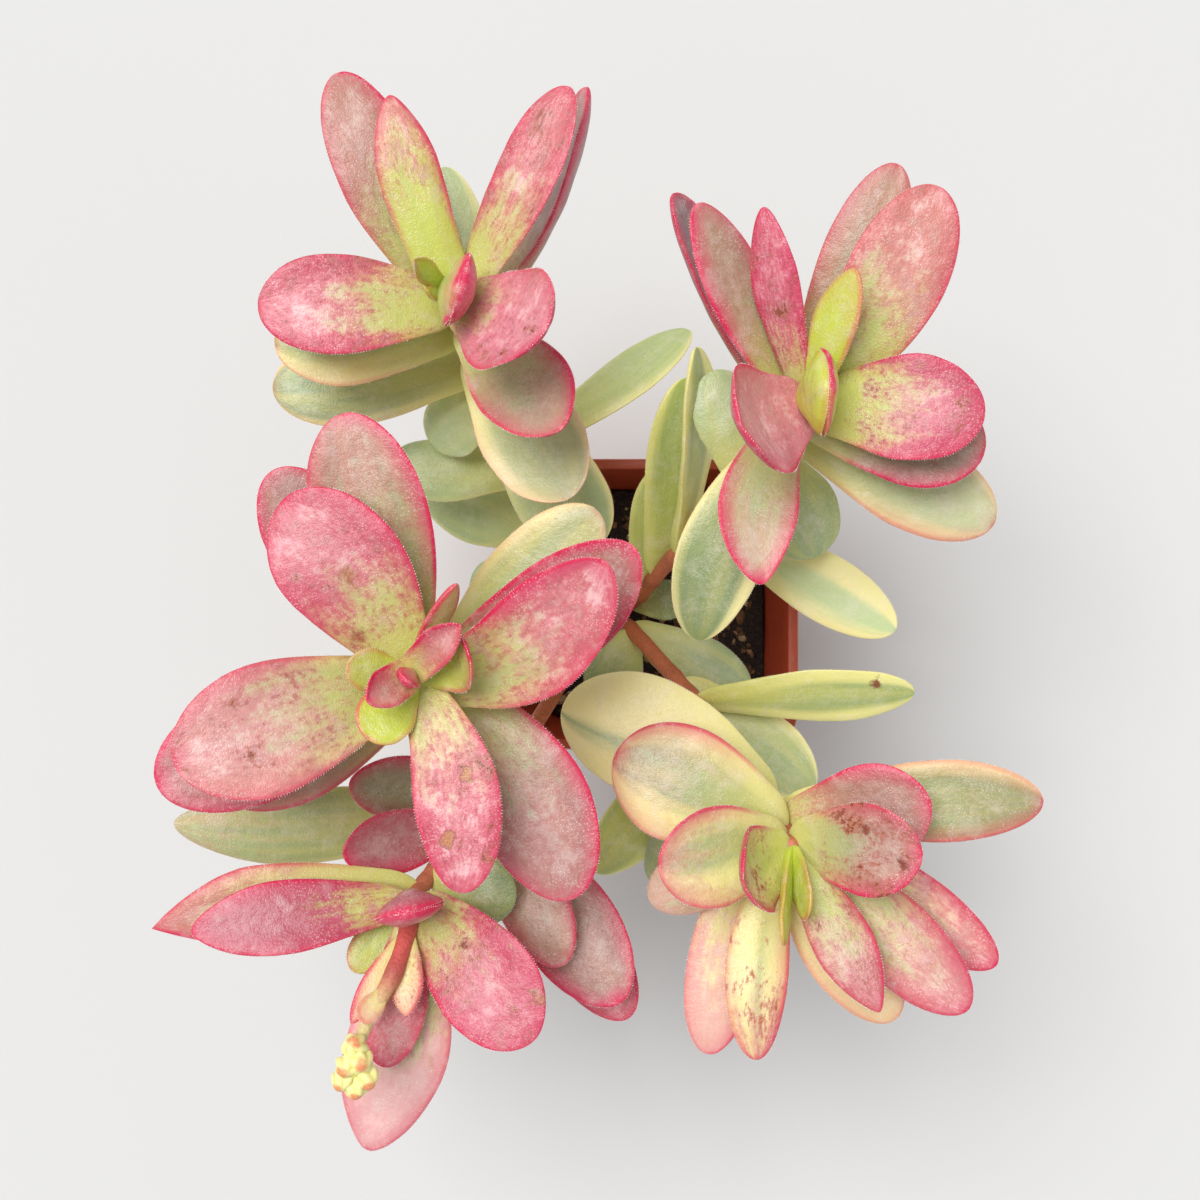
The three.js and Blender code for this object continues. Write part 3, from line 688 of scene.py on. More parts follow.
def papillae(place, gap):
    """Tiny round papillae all over the skin: their height, and painted glints on their tops, in patches."""
    cells = pattern("ShaderNodeTexVoronoi", "Distance", {"Vector": place, "Scale": 1.0 / gap})
    dome = smooth(cells, 0.5, 0.06)
    patch = smooth(cloud(place, 260.0, detail=1.0), 0.3, 0.75)
    fine = cloud(place, 2600.0, detail=1.0)
    return {"Height": dome * 0.5, "Speckle": dome * patch * fine}


def grain(place, size):
    """Uneven fine grain with larger soft patches, for moulded plastic, bark and peat."""
    scale = 1.0 / size
    return {"Fine": cloud(place, scale, detail=2.0), "Patches": cloud(place, scale * 0.12, detail=4.0)}


def papillae_on(place, gap):
    return use_group(node_group("Papillae", "Gap", papillae), place, Gap=gap)


def grain_on(place, size):
    return use_group(node_group("Grain", "Size", grain), place, Size=size)


# Leaves
def blade_patterns(tree):
    """What each blade stored, and the patterns that its colours share."""
    blade = SimpleNamespace(place=object_place(tree))
    blade.along, blade.across, blade.edge = stored(tree, "blade")
    blade.lime, blade.cream, blade.blush = stored(tree, "tint")
    blade.reach, blade.margin, blade.dull = stored(tree, "wash")
    blade.scar, blade.pale, blade.seed = stored(tree, "marks")
    blade.blotch = cloud(blade.place, BLOTCH_SCALE, detail=4.0, roughness=0.62)
    blade.fine = cloud(blade.place, FINE_SCALE, detail=3.0, roughness=0.7)
    blade.streak = cloud(drawn_out(blade, 0.9, 1.5, 37.0), 1.7, detail=4.0, roughness=0.62)
    blade.fleck = cloud(drawn_out(blade, 26.0, 9.0, 53.0), 1.0, detail=4.0, roughness=0.66)
    return blade


def drawn_out(blade, along, across, turn):
    """A place that follows the blade, at one scale along it and another across, unlike on every leaf."""
    inputs = {0: blade.along * along, 1: blade.across * across, 2: blade.seed * turn}
    return pattern("ShaderNodeCombineXYZ", 0, inputs)


def ground_colour(colours, blade):
    """The blade under its blush: a streaked grey-green centre, cream margins and a yellow-green foot."""
    lean = maths("SINE", blade.seed * 11.0) * 0.3
    off_centre = maths("ABSOLUTE", blade.across + lean * blade.cream)
    low_part = smooth(blade.along, 0.55, 0.1) * blade.cream * 0.5
    border = off_centre + (blade.streak - 0.5) * 0.5 + low_part
    start = 1.02 - blade.cream * 1.15
    centre = mix(smooth(blade.streak, 0.4, 0.65) * 0.5, colours.green, colours.base)
    # Negative pale sinks the centre into dark painted shade; positive pale lifts it, partly a real paler
    # tone, partly painted light
    olive = mix(maths("MULTIPLY", blade.pale, -1.0, clamp=True), centre, colours.olive)
    light = mix(maths("MULTIPLY", blade.pale, 0.9, clamp=True), olive, colours.pale)
    creamy = mix(smooth(border, start, start + 0.46), light, colours.cream)
    footed = mix(smooth(blade.along, 0.74, 0.04) * 0.8, creamy, colours.base)
    return mix(blade.lime * smooth(blade.streak, 0.05, 0.5), footed, colours.lime)


def blush_over(colours, blade, ground):
    """Pink that grows from the tip and the margins, blotched and streaked as by cold and rain."""
    wander = (blade.blotch + blade.streak - 1.0) * 0.7
    crumble = (blade.fine + blade.fleck - 1.0) * 0.3
    outward = maths("POWER", maths("ABSOLUTE", blade.across), 3.0) * 0.2
    front = blade.along + wander + outward + crumble
    start = 0.95 - blade.reach
    cover = smooth(front, start - 0.1, start + 0.42)
    depth = blade.blotch * 0.55 + blade.fleck * 0.3 + blade.fine * 0.15 + outward * 0.4
    hazy = mix(smooth(depth, 0.38, 0.52), colours.pale_pink, colours.blush)
    pink = mix(smooth(depth, 0.49, 0.62), hazy, colours.deep_blush)
    # Positive pale also lightens the pink, partly as a painted sheen; negative pale deepens it
    pink = mix(maths("MULTIPLY", blade.pale, 0.7, clamp=True), pink, colours.pale_pink)
    pink = mix(maths("MULTIPLY", blade.pale, -0.8, clamp=True), pink, colours.deep_blush)
    warm = mix(blade.blush * 0.45, ground, colours.base)
    blushed = mix(cover * blade.blush, warm, pink)
    clean = maths("SUBTRACT", 1.3, blade.cream, clamp=True)
    border = cover * (1.0 - cover) * smooth(blade.fleck, 0.5, 0.64) * blade.blush * clean * 1.5
    return mix(border, blushed, halfway(colours.scar, colours.deep_blush))


def margin_over(colours, blade, skin):
    """A pink band along the margin, unlike on its two sides, with a hot line at its very edge."""
    sided = maths("SINE", blade.seed * 29.0 + blade.across * 1.6) * 0.28 + 0.78
    margin = blade.margin * sided
    rise = smooth(blade.along, 0.2, 0.68) * (1.0 - blade.lime * 0.8)
    reach = blade.edge + (blade.blotch - 0.5) * 2.5
    band = smooth(reach, 4.2, 0.3) * rise * margin * 0.9
    line = smooth(blade.edge, 1.1, 0.3) * smooth(blade.along, 0.12, 0.5) * margin * 1.1
    return mix(line, mix(band, skin, colours.warm_margin), colours.margin)


def bloom_over(colours, blade, skin):
    """Whitish bloom in patches, with a granular painted sheen on the middle of the blade."""
    # Painted sheen: whitish on the middle of the face, where a highlight lies
    middle = smooth(maths("ABSOLUTE", blade.across), 0.8, 0.1)
    veil = middle * smooth(blade.along, 0.3, 0.65) * smooth(blade.along, 1.0, 0.8)
    veil = veil * smooth(blade.fine, 0.35, 0.65) * 0.13
    patches = smooth(blade.blotch, 0.5, 0.7) * 0.16
    return mix(patches + veil, skin, colours.frost)


def scars_over(colours, blade, skin):
    """Dry streaks along the blade, in clusters, with red lines round them and a paler corky middle."""
    dry = mix(maths("SUBTRACT", blade.cream, 0.4, clamp=True), colours.scar, colours.rust)
    bar = 0.73 - (blade.scar * 0.09 + (blade.blotch - 0.54) * 1.5)
    shown = maths("MULTIPLY", blade.scar, 3.0, clamp=True) * smooth(blade.along, 0.25, 0.5)
    lines = smooth(blade.fleck, bar - 0.15, bar) * shown * 0.6
    rim = smooth(blade.fleck, bar - 0.05, bar) * shown * 0.35
    mark = smooth(blade.fleck, bar, bar + 0.09) * shown * 0.85
    middle = smooth(blade.fleck, 0.68, 0.74) * shown * 0.8
    reddened = mix(lines, skin, mix(0.4, colours.deep_blush, dry))
    rimmed = mix(rim, reddened, colours.cork)
    return mix(middle, mix(mark, rimmed, dry), colours.cork)


def spots_over(colours, blade, skin):
    """Healed patches, corky inside a dark ragged outline."""
    tree = blade.place.tree
    ragged = (blade.blotch + blade.fine * 1.5 - 1.25) * SPOT_RAGGED
    grainy = smooth(blade.fine, 0.35, 0.6) * 0.35 + 0.5
    for name, corky in zip(SPOTS, stored(tree, "healed")):
        places = {0: blade.place, 1: stored_vector(tree, name)}
        away = pattern("ShaderNodeVectorMath", "Value", places, operation="DISTANCE") + ragged
        sharp = smooth(away, SPOT_RADIUS, 0.8 * SPOT_RADIUS) * corky * 0.7
        soft = smooth(away, SPOT_RADIUS, 0.15 * SPOT_RADIUS) * 0.9
        core = smooth(away, 0.85 * SPOT_RADIUS, 0.5 * SPOT_RADIUS) * corky * grainy
        skin = mix(core, mix(maths("MAXIMUM", sharp, soft), skin, colours.scar), colours.cork)
    return skin


def leaf_material(colours):
    material, tree, surface = new_material(LEAF_SKIN, Specular_IOR_Level=0.55)
    blade = blade_patterns(tree)
    bumps, speckle = papillae_on(blade.place, colours.papilla_gap)
    skin = blush_over(colours, blade, ground_colour(colours, blade))
    # Grey rose towards the tip: partly the real colour of older faces, partly painted shade
    skin = mix(blade.dull * smooth(blade.along, 0.1, 0.6) * 0.7, skin, colours.dull)
    skin = margin_over(colours, blade, skin)
    skin = bloom_over(colours, blade, skin)
    # Painted glints where the papillae catch the light
    skin = mix(speckle * 0.7, skin, colours.frost)
    skin = scars_over(colours, blade, skin)
    skin = spots_over(colours, blade, skin)
    relief = bumps + (blade.blotch + blade.fine) * 2.2
    finish_surface(surface, skin, blade.fine * 0.3 + 0.22, relief, 0.07 * MM)
    return material


def blade_outline(along, neck, point):
    """Half the blade's width at each share of its length, as a share of its widest half."""
    step = np.clip((along + 0.1) / (LEAF_WIDEST + 0.1), 0, 1)
    lower = neck + (1 - neck) * step**2 * (3 - 2 * step)
    beyond = np.clip((along - LEAF_WIDEST) / (1 - LEAF_WIDEST), 0, 1)
    upper = (1 - point) * np.sqrt(1 - beyond**2.2) + point * (1 - beyond**1.7)
    return np.where(along <= LEAF_WIDEST, lower, upper)


def blade_axes(row, base):
    """The blade's middle control point and the direction that its upper face looks to."""
    tip = np.array(row["tip"], float)
    chord = unit(tip - base)
    look_to = np.array([0.0, 0.0, 1.0])
    if row["face"] is not None:
        bearing = math.radians(row["face"])
        look_to = np.array([math.cos(bearing), math.sin(bearing), 0.0])
    up = unit(look_to - chord * look_to.dot(chord))
    up = np.array(Matrix.Rotation(math.radians(row["roll"]), 3, Vector(chord)) @ Vector(up))
    right = np.cross(chord, up)
    return (base + tip) / 2 + up * 2 * row["bow"] + right * 2 * row["sway"], up


def blade_waves(along, across, seed):
    """Slow waves of the margin, the face and the width of each side."""
    margin = wave(along * 3.2, across * 0.8, seed * 7.3)
    face = wave(along * 5.0, across * 1.7 + 40, seed * 3.1)
    dents = wave(along * 11.0, across * 3.6 + 90, seed * 2.3)
    width = wave(along * 3.6 + 80, np.copysign(3, across), seed * 5.7)
    return margin, face + DENT / FACE_WAVE * dents, width


def shape_blade(mesh, row, base, seed):
    """Draws the blank out to a thick blade on an arched midrib, and stores what its finish needs."""
    along, across, lift = blank_shares(mesh)
    tip = np.array(row["tip"], float)
    middle, up = blade_axes(row, base)
    s = along[:, None]
    midrib = (1 - s) ** 2 * base + 2 * s * (1 - s) * middle + s**2 * tip
    tangent = unit((1 - s) * (middle - base) + s * (tip - middle))
    side = unit(np.cross(tangent, up))
    above = np.cross(side, tangent)
    margin_wave, face_wave, width_wave = blade_waves(along, across, seed)
    foot = np.sqrt(1 - (1 - np.clip(along / BASE_ROUNDING, 0, 1)) ** 2)
    outline = blade_outline(along, row["neck"], row["point"]) * foot * (1 + WIDTH_WOBBLE * width_wave)
    depth = row["thick"] * (1 - LEAF_TAPER * along**2) * foot * np.sqrt(1 - along**TIP_ROUNDING)
    body = depth + (np.minimum(LEAF_EDGE, depth) - depth) * across**2
    body = body * np.sqrt(1 - across**MARGIN_ROUNDING)
    height = np.where(lift > 0, TOP_SHARE, TOP_SHARE - 1) * body
    waving = min(1.0, row["width"] / WAVING_WIDTH) * outline
    waving = waving * (MARGIN_WAVE * margin_wave * across**2 + FACE_WAVE * face_wave)
    rise = row["cup"] * outline * across**2 + waving + height
    half_width = outline * row["width"] / 2
    points = (midrib + side * (across * half_width)[:, None] + above * rise[:, None]) * MM
    set_vertices(mesh, points)
    length = np.linalg.norm(tip - base)
    edge = np.minimum((1 - np.abs(across)) * half_width, (1 - along) * length)
    store(mesh, "blade", (along, across, edge))
    store(mesh, "tint", (row["lime"], row["cream"], row["blush"]))
    store(mesh, "wash", (row["reach"], row["margin"], row["dull"]))
    store(mesh, "marks", (row["scar"], row["pale"], seed))
    store_spots(mesh, row["spots"], points, along, across, lift)


def store_spots(mesh, spots, points, along, across, lift):
    """Keeps where a blade's healed patches lie on its upper face, and how corky each one is."""
    spots = (*spots, NO_SPOT, NO_SPOT, NO_SPOT)[:3]
    store(mesh, "healed", [corky for _, _, corky in spots])
    for name, (share, aside, _) in zip(SPOTS, spots):
        nearest = np.argmin(np.hypot(along - share, across - aside) + (lift < 0))
        store(mesh, name, points[nearest] if share < 1 else FAR_AWAY)


def margin_papillae(blade, sides):
    """Where the papillae of a shaped blade's two margins stand, and where each one points."""
    lines = [vertices_of(blade)[side] for side in sides]
    middle = sum(lines) / 2
    forward = unit(np.gradient(middle, axis=0))
    feet = []
    for line in lines:
        outward = unit(unit(line - middle) + PAPILLA_LEAN * forward)
        reached = np.append(0, np.cumsum(np.linalg.norm(np.diff(line, axis=0), axis=1)))
        places = np.arange(PAPILLA_START * reached[-1], reached[-1], PAPILLA_STEP)
        both = np.hstack([line, outward])
        feet.append(np.stack([np.interp(places, reached, column) for column in both.T], axis=1))
    return np.vstack(feet)


def papilla_blank():
    """A tiny three-sided cone: its vertices and its faces."""
    clear_selection()
    bpy.ops.mesh.primitive_cone_add(vertices=3, radius1=PAPILLA_RADIUS, depth=PAPILLA_LENGTH, calc_uvs=False)
    cone = bpy.context.object
    shape = vertices_of(cone.data)
    faces = [tuple(face.vertices) for face in cone.data.polygons]
    remove(cone)
    return shape, faces


def grow_papillae(name, feet, material, cad_node):
    """A papilla on each foot, in one piece."""
    shape, faces = papilla_blank()
    dice = np.random.default_rng(5)
    point = unit(feet[:, 3:] + dice.normal(0, PAPILLA_SPREAD, (len(feet), 3)))
    side = unit(np.cross(point, (0.31, 0.52, 0.79)))
    sizes = dice.uniform(*PAPILLA_SIZES, (len(feet), 1, 1))
    axes = np.stack([side, np.cross(point, side), point], axis=1) * sizes
    standing = shape + (0, 0, PAPILLA_LENGTH * PAPILLA_STAND)
    places = feet[:, None, :3] + np.einsum("vk,hkd->hvd", standing, axes)
    starts = range(0, len(feet) * len(shape), len(shape))
    all_faces = [[corner + start for corner in face] for start in starts for face in faces]
    mesh = bpy.data.meshes.new(name)
    mesh.from_pydata(places.reshape(-1, 3).tolist(), [], all_faces)
    piece = bpy.data.objects.new(name, mesh)
    bpy.context.collection.objects.link(piece)
    finish_piece(piece, name, material, "leaf", cad_node)


def papilla_material(colours):
    material, tree, surface = new_material(PAPILLA_SKIN)
    patches = cloud(object_place(tree), 300.0)
    tone = mix(smooth(patches, 0.35, 0.6), colours.warm_margin, colours.frost)
    finish_surface(surface, tone, patches * 0.2 + 0.3, patches, 0.02 * MM)
    return material


# Stems
def curve_points(path, shares):
    """Points of the smooth curve through a path, the same curve as the CAD stem's."""
    knots = np.array(path, float)
    knots = np.vstack([2 * knots[0] - knots[1], knots, 2 * knots[-1] - knots[-2]])
    last = len(path) - 2
    places = np.clip(shares, 0, 1) * (last + 1)
    spans = np.minimum(places.astype(int), last)
    w = (places - spans)[:, None]
    before, start, end, after = (knots[spans + step] for step in range(4))
    pairs = ((before, start), (start, end), (end, after))
    gap0, gap1, gap2 = (np.sqrt(np.linalg.norm(b - a, axis=1, keepdims=True)) for a, b in pairs)
    leave = ((start - before) / gap0 - (end - before) / (gap0 + gap1) + (end - start) / gap1) * gap1
    arrive = ((end - start) / gap1 - (after - start) / (gap1 + gap2) + (after - end) / gap2) * gap1
    square = (-3 * start + 3 * end - 2 * leave - arrive) * w**2
    return start + leave * w + square + (2 * start - 2 * end + leave + arrive) * w**3


def point_at_height(path, height):
    low, high = 0.0, 1.0
    for _ in range(30):
        middle = (low + high) / 2
        if curve_points(path, np.array([middle]))[0][2] < height:
            low = middle
        else:
            high = middle
    return curve_points(path, np.array([low]))[0]


def shape_stem(mesh, growth, seed):
    """Draws the blank out along the stem, with a swelling where each leaf pair stands."""
    pole, across, lift = blank_shares(mesh)
    along = np.arccos(np.clip(1 - 2 * pole, -1, 1)) / math.pi
    path = growth["path"]
    centre = curve_points(path, along)
    ahead = curve_points(path, np.minimum(along + 0.01, 1))
    behind = curve_points(path, np.maximum(along - 0.01, 0))
    tangent = unit(ahead - behind)
    side = unit(np.cross(np.array([0.0, 1.0, 0.0]), tangent))
    up = np.cross(tangent, side)
    ring = np.zeros(len(along))
    for row in growth["leaves"]:
        ring = np.maximum(ring, np.exp(-(((centre[:, 2] - row["at"] + NODE_DROP) / NODE_REACH) ** 2)))
    near_end = np.clip(np.abs(along - 0.5) * 2 - 1 + STEM_END, 0, STEM_END)
    end = np.sqrt(1 - near_end**2 / STEM_END**2)
    rough = wave(along * 14, across * 1.5, lift * 1.5 + seed * 9)
    thin = 1 + (growth["tip_share"] - 1) * along
    radius = STEM_RADIUS * thin * end * (1 + NODE_SWELL * ring + STEM_ROUGH * rough)
    points = centre + side * (radius * across)[:, None] + up * (radius * lift)[:, None]
    set_vertices(mesh, points * MM)
    store(mesh, "stem", (along, ring, seed))


def stem_material(name, lower, upper, low=0.35, high=0.95):
    """Bark that turns from its lower to its upper colour between two shares of the stem's length."""
    material, tree, surface = new_material(name, Subsurface_Weight=0.08, Subsurface_Scale=1.5 * MM)
    along, ring, _ = stored(tree, "stem")
    fine, patches = grain_on(object_place(tree), 0.7 * MM)
    dark = darker(lower, 0.5)
    bark = mix(smooth(along, low, high), lower, upper)
    bark = mix(smooth(fine, 0.45, 0.75) * 0.4, bark, dark)
    bark = mix(ring * 0.45, bark, dark)
    finish_surface(surface, bark, patches * 0.3 + 0.4, fine + patches, 0.25 * MM)
    return material


def grow_stem(name, growth, cad_node, tools, bark, count):
    """One stem, its leaves and their margins' papillae, as three pieces that stand for its CAD node."""
    side = name.removeprefix("stem_")
    along, across, _ = blank_shares(tools.blade.data)
    sides = [sorted(np.flatnonzero(across * way > 0.9999), key=along.item) for way in (-1, 1)]
    leaves, feet = [], []
    for number, row in enumerate(growth["leaves"]):
        blade = copy_of(tools.blade)
        seed = (number * SEED_BY_LEAF + count * SEED_BY_STEM) % SEED_RANGE
        shape_blade(blade.data, row, point_at_height(growth["path"], row["at"]), seed)
        feet.append(margin_papillae(blade.data, sides))
        leaves.append(blade)
    grow_papillae(f"papillae_{side}", np.vstack(feet), tools.fringe, cad_node)
    crown = join_pieces(leaves)
    shade_smooth(crown)
    finish_piece(crown, f"leaves_{side}", tools.skin, "leaf", cad_node)
    stalk = copy_of(tools.rod)
    shape_stem(stalk.data, growth, count)
    shade_smooth(stalk)
    finish_piece(stalk, f"{side}_rod", bark, "leaf", cad_node)


def stem_tools(colours):
    """The blanks that blades and rods are drawn from, and the two materials that all leaves share."""
    return SimpleNamespace(
        blade=round_blank(*BLADE_GRID),
        rod=round_blank(*ROD_GRID),
        skin=bpy.data.materials.get(LEAF_SKIN) or leaf_material(colours),
        fringe=bpy.data.materials.get(PAPILLA_SKIN) or papilla_material(colours),
    )


def put_away(tools):
    remove(tools.blade)
    remove(tools.rod)


# Pot
def rounded_plate(side, corner, height):
    """A square plate with round corners, left in edit mode with its face selected."""
    clear_selection()
    bpy.ops.mesh.primitive_plane_add(size=side, location=(0, 0, height), calc_uvs=False)
    bpy.ops.object.transform_apply(location=True)
    plate = bpy.context.object
    bpy.ops.object.mode_set(mode="EDIT")
    bpy.ops.mesh.bevel(offset=corner, segments=8, affect="VERTICES")
    bpy.ops.mesh.select_all(action="SELECT")
    return plate


def draw_profile(side, height, steps):
    """Draws the selected face up or down through each (side, height) in turn."""
    for next_side, next_height in steps:
        ratio = next_side / side
        bpy.ops.mesh.extrude_region_move(TRANSFORM_OT_translate={"value": (0, 0, next_height - height)})
        bpy.ops.transform.resize(value=(ratio, ratio, 1), center_override=(0, 0, 0))
        side, height = next_side, next_height


def close_shape():
    bpy.ops.mesh.select_all(action="SELECT")
    bpy.ops.mesh.remove_doubles(threshold=1e-6)
    bpy.ops.mesh.normals_make_consistent(inside=False)
    bpy.ops.object.mode_set(mode="OBJECT")


def wall_side(height, pot_height):
    return BASE_SIDE + (TOP_SIDE - BASE_SIDE) * height / pot_height


def drain_holes(pot):
    for x in (-DRAIN_OFFSET, DRAIN_OFFSET):
        for y in (-DRAIN_OFFSET, DRAIN_OFFSET):
            clear_selection()
            bpy.ops.mesh.primitive_cylinder_add(
                vertices=32, radius=DRAIN_RADIUS, depth=DRILL_LENGTH, location=(x, y, 0), calc_uvs=False
            )
            drill = bpy.context.object
            apply_modifier(pot, "BOOLEAN", object=drill, operation="DIFFERENCE", solver="EXACT")
            remove(drill)


def pot_material(plastic):
    name = "Terracotta plastic"
    material, tree, surface = new_material(name, Subsurface_Weight=0.06, Subsurface_Scale=1 * MM)
    place = object_place(tree)
    _, _, height = parts_of(place)
    fine, patches = grain_on(place, 0.9 * MM)
    dust = smooth(fine, 0.5, 0.8) * smooth(patches, 0.4, 0.7) * 0.2
    splash = smooth(height, SPLASH_HEIGHT, 0.0) * smooth(patches, 0.35, 0.65) * 0.3
    body = mix(smooth(patches, 0.3, 0.75), plastic, darker(plastic, 0.82))
    body = mix(dust, body, shade(*POT_DUST))
    body = mix(splash, body, shade(*POT_SPLASH))
    finish_surface(surface, body, patches * 0.3 + 0.28, fine + patches * 2.0, 0.05 * MM)
    return material


# Soil
def mix_height(x, y, level):
    """The uneven top of the potting mix: the CAD model's slow swell, with crumbs."""
    wave_x, wave_y = SWELL_WAVES
    slow = math.sin(x / MM * wave_x) * math.cos(y / MM * wave_y + 1)
    lumps = LUMP_HEIGHT * noise.noise(Vector((x, y, 0.0)) * LUMP_SCALE)
    grains = GRAIN_HEIGHT * abs(noise.noise(Vector((x, y, 1.0)) * GRAIN_SCALE))
    return level + SOIL_SWELL * slow + lumps + grains


def raise_crumbs(mesh, level):
    points = vertices_of(mesh)
    for point in points:
        if point[2] > level - TOP_OF_MIX * SOIL_VOXEL:
            point[2] = mix_height(point[0], point[1], level)
    set_vertices(mesh, points)


def soil_material(colours):
    material, tree, surface = new_material("Potting mix")
    place = object_place(tree)
    fine, patches = grain_on(place, 0.8 * MM)
    fibre = smooth(cloud(place, 1700.0), 0.62, 0.72) * smooth(patches, 0.4, 0.6)
    peat = mix(smooth(fine, 0.35, 0.65), darker(colours.mix, 0.35), colours.mix)
    peat = mix(fibre * 0.6, peat, colours.bark)
    finish_surface(surface, peat, fine * 0.3 + 0.65, fine, 0.8 * MM)
    return material


def bits_material(colours):
    """Bark chips and pale grit, by the tone that each bit stores."""
    material, tree, surface = new_material("Bark and grit")
    tone, _, _ = stored(tree, "bit")
    fine, _ = grain_on(object_place(tree), 0.35 * MM)
    bit = mix(smooth(tone, 0.0, 0.8), colours.mix, colours.bark)
    bit = mix(smooth(tone, 0.82, 0.98), bit, colours.grit)
    bit = mix(smooth(fine, 0.45, 0.7) * 0.5, bit, colours.mix)
    finish_surface(surface, bit, fine * 0.3 + 0.6, fine, 0.2 * MM)
    return material


def scatter_bits(blank, settings, half):
    """Copies of one blank, flattened, turned and set into the top of the mix."""
    dice = random.Random(11)
    shape = vertices_of(blank.data)
    bits = []
    for _ in range(settings.bit_count):
        bit = copy_of(blank)
        x, y = (dice.uniform(-half, half) for _ in range(2))
        size = dice.uniform(*BIT_SIZES) * (LARGE_BIT if dice.random() < LARGE_BIT_SHARE else 1.0)
        stretch = Matrix.Diagonal((size * dice.uniform(0.9, 1.8), size, size * dice.uniform(0.35, 0.8)))
        forward = Matrix.Rotation(dice.uniform(-0.6, 0.6), 3, "X")
        sideways = Matrix.Rotation(dice.uniform(-0.5, 0.5), 3, "Y")
        turn = Matrix.Rotation(dice.uniform(0, math.tau), 3, "Z") @ (forward @ sideways) @ stretch
        knocks = np.array([[dice.uniform(0.55, 1.25)] for _ in shape])
        place = np.array([x, y, mix_height(x, y, settings.level)])
        set_vertices(bit.data, (shape * knocks) @ np.array(turn).T + place)
        store(bit.data, "bit", (dice.random(), 0, 0))
        bits.append(bit)
    return join_pieces(bits)


# Flower buds
def shape_bud(mesh, centre, seed):
    """A closed bud, drawn to a blunt point, with folded petals."""
    pole, across, lift = blank_shares(mesh)
    angle = np.arctan2(lift, across)
    axis = unit((centre - BUD_CENTRE) * np.array([0.8, 0.8, 0.4]) + np.array([0.0, -1.2, 2.6]))
    side = unit(np.cross(axis, np.array([0.3, 1.0, 0.1])))
    other = np.cross(axis, side)
    profile = np.sqrt(np.maximum(pole * (1 - pole), 0)) * 2 * (1 - BUD_TAPER * pole)
    petals = np.cos(BUD_PETALS * (angle + seed + BUD_TWIST * pole))
    folds = 1 + BUD_FOLD * petals * np.sin(math.pi * np.clip(pole * 1.1, 0, 1))
    radius = BUD_RADIUS * profile * folds
    height = (pole - 0.45) * 2 * BUD_HALF_LENGTH
    round_axis = side * (radius * np.cos(angle))[:, None] + other * (radius * np.sin(angle))[:, None]
    set_vertices(mesh, (centre + axis * height[:, None] + round_axis) * MM)
    store(mesh, "bud", (pole, petals, seed))


def bud_material(colours):
    material, tree, surface = new_material("Flower bud", Subsurface_Weight=0.2, Subsurface_Scale=1.2 * MM)
    place = object_place(tree)
    pole, fold, _ = stored(tree, "bud")
    blotch = cloud(place, 500.0, detail=4.0)
    bumps, speckle = papillae_on(place, 0.3 * MM)
    petal = mix(smooth(pole + blotch * 0.5, 1.06, 1.24) * 0.9, colours.bud, colours.bud_tip)
    petal = mix(smooth(fold, -0.2, -1.0) * 0.45, petal, shade(*BUD_CREASE))
    # Painted glints where the bud's papillae catch the light
    petal = mix(speckle * 0.5, petal, shade(*BUD_FROST))
    finish_surface(surface, petal, blotch * 0.2 + 0.35, bumps + blotch * 2.0, 0.06 * MM)
    return material


# Stage
def lay_floor(colour):
    clear_selection()
    bpy.ops.mesh.primitive_plane_add(size=FLOOR_SIDE, location=(0, 0, 0), calc_uvs=False)
    floor = bpy.context.object
    floor.name = "floor"
    material, tree, surface = new_material("Plain floor", Roughness=0.85)
    tone = mix(cloud(object_place(tree), 3.0), colour, darker(colour, 0.94))
    tree.links.new(tone.socket, surface.inputs["Base Color"])
    floor.data.materials.append(material)
    floor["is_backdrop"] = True


def light_stage(settings):
    bpy.context.scene.view_settings.view_transform = "Standard"
    world = bpy.data.worlds.new("Even sky")
    bpy.context.scene.world = world
    world.use_nodes = True
    sky = world.node_tree.nodes["Background"]
    sky.inputs["Color"].default_value = SKY_COLOUR
    sky.inputs["Strength"].default_value = settings.sky_strength
    bpy.ops.object.light_add(type="SUN", location=LAMP_PLACE)
    lamp = bpy.context.object
    lamp.name = "soft_lamp"
    lamp.data.angle = LAMP_SPREAD
    lamp.data.energy = settings.lamp_power
    lamp.rotation_euler = Vector(LAMP_PLACE).to_track_quat("Z", "Y").to_euler()


def place_camera():
    """The photograph's camera, looking straight down."""
    bpy.ops.object.camera_add(location=CAMERA_PLACE, rotation=(0, 0, 0))
    camera = bpy.context.object
    camera.data.lens = CAMERA_LENS
    camera.data.clip_start = 0.01
    bpy.context.scene.camera = camera


class SUCCULENT_OT_pot(bpy.types.Operator):
    """Mould the square nursery pot with its rim and drain holes"""

    bl_idname = "succulent.pot"
    bl_label = "Mould the pot"

    def execute(self, context):
        pot = context.scene.succulent_pot
        top, wall = pot.height, pot.wall
        mouth = wall_side(top, top) - 2 * wall
        plate = rounded_plate(BASE_SIDE, pot.corner, 0)
        draw_profile(BASE_SIDE, 0, [
            (wall_side(top - RIM_HEIGHT, top), top - RIM_HEIGHT),
            (RIM_FOOT_SIDE, top - RIM_HEIGHT),
            (pot.rim_side, top - RIM_HEIGHT + RIM_SLOPE),
            (pot.rim_side, top - LIP),
            (pot.rim_side - LIP, top),
            (mouth + LIP, top),
            (mouth, top - LIP),
            (wall_side(FLOOR, top) - 2 * wall, FLOOR),
        ])
        close_shape()
        drain_holes(plate)
        apply_modifier(plate, "BEVEL", width=EDGE_ROUNDING, segments=2, limit_method="ANGLE")
        shade_smooth(plate, 35)
        finish_piece(plate, "nursery_pot", pot_material(pot.plastic), "pot_plastic", "pot")
        return {"FINISHED"}


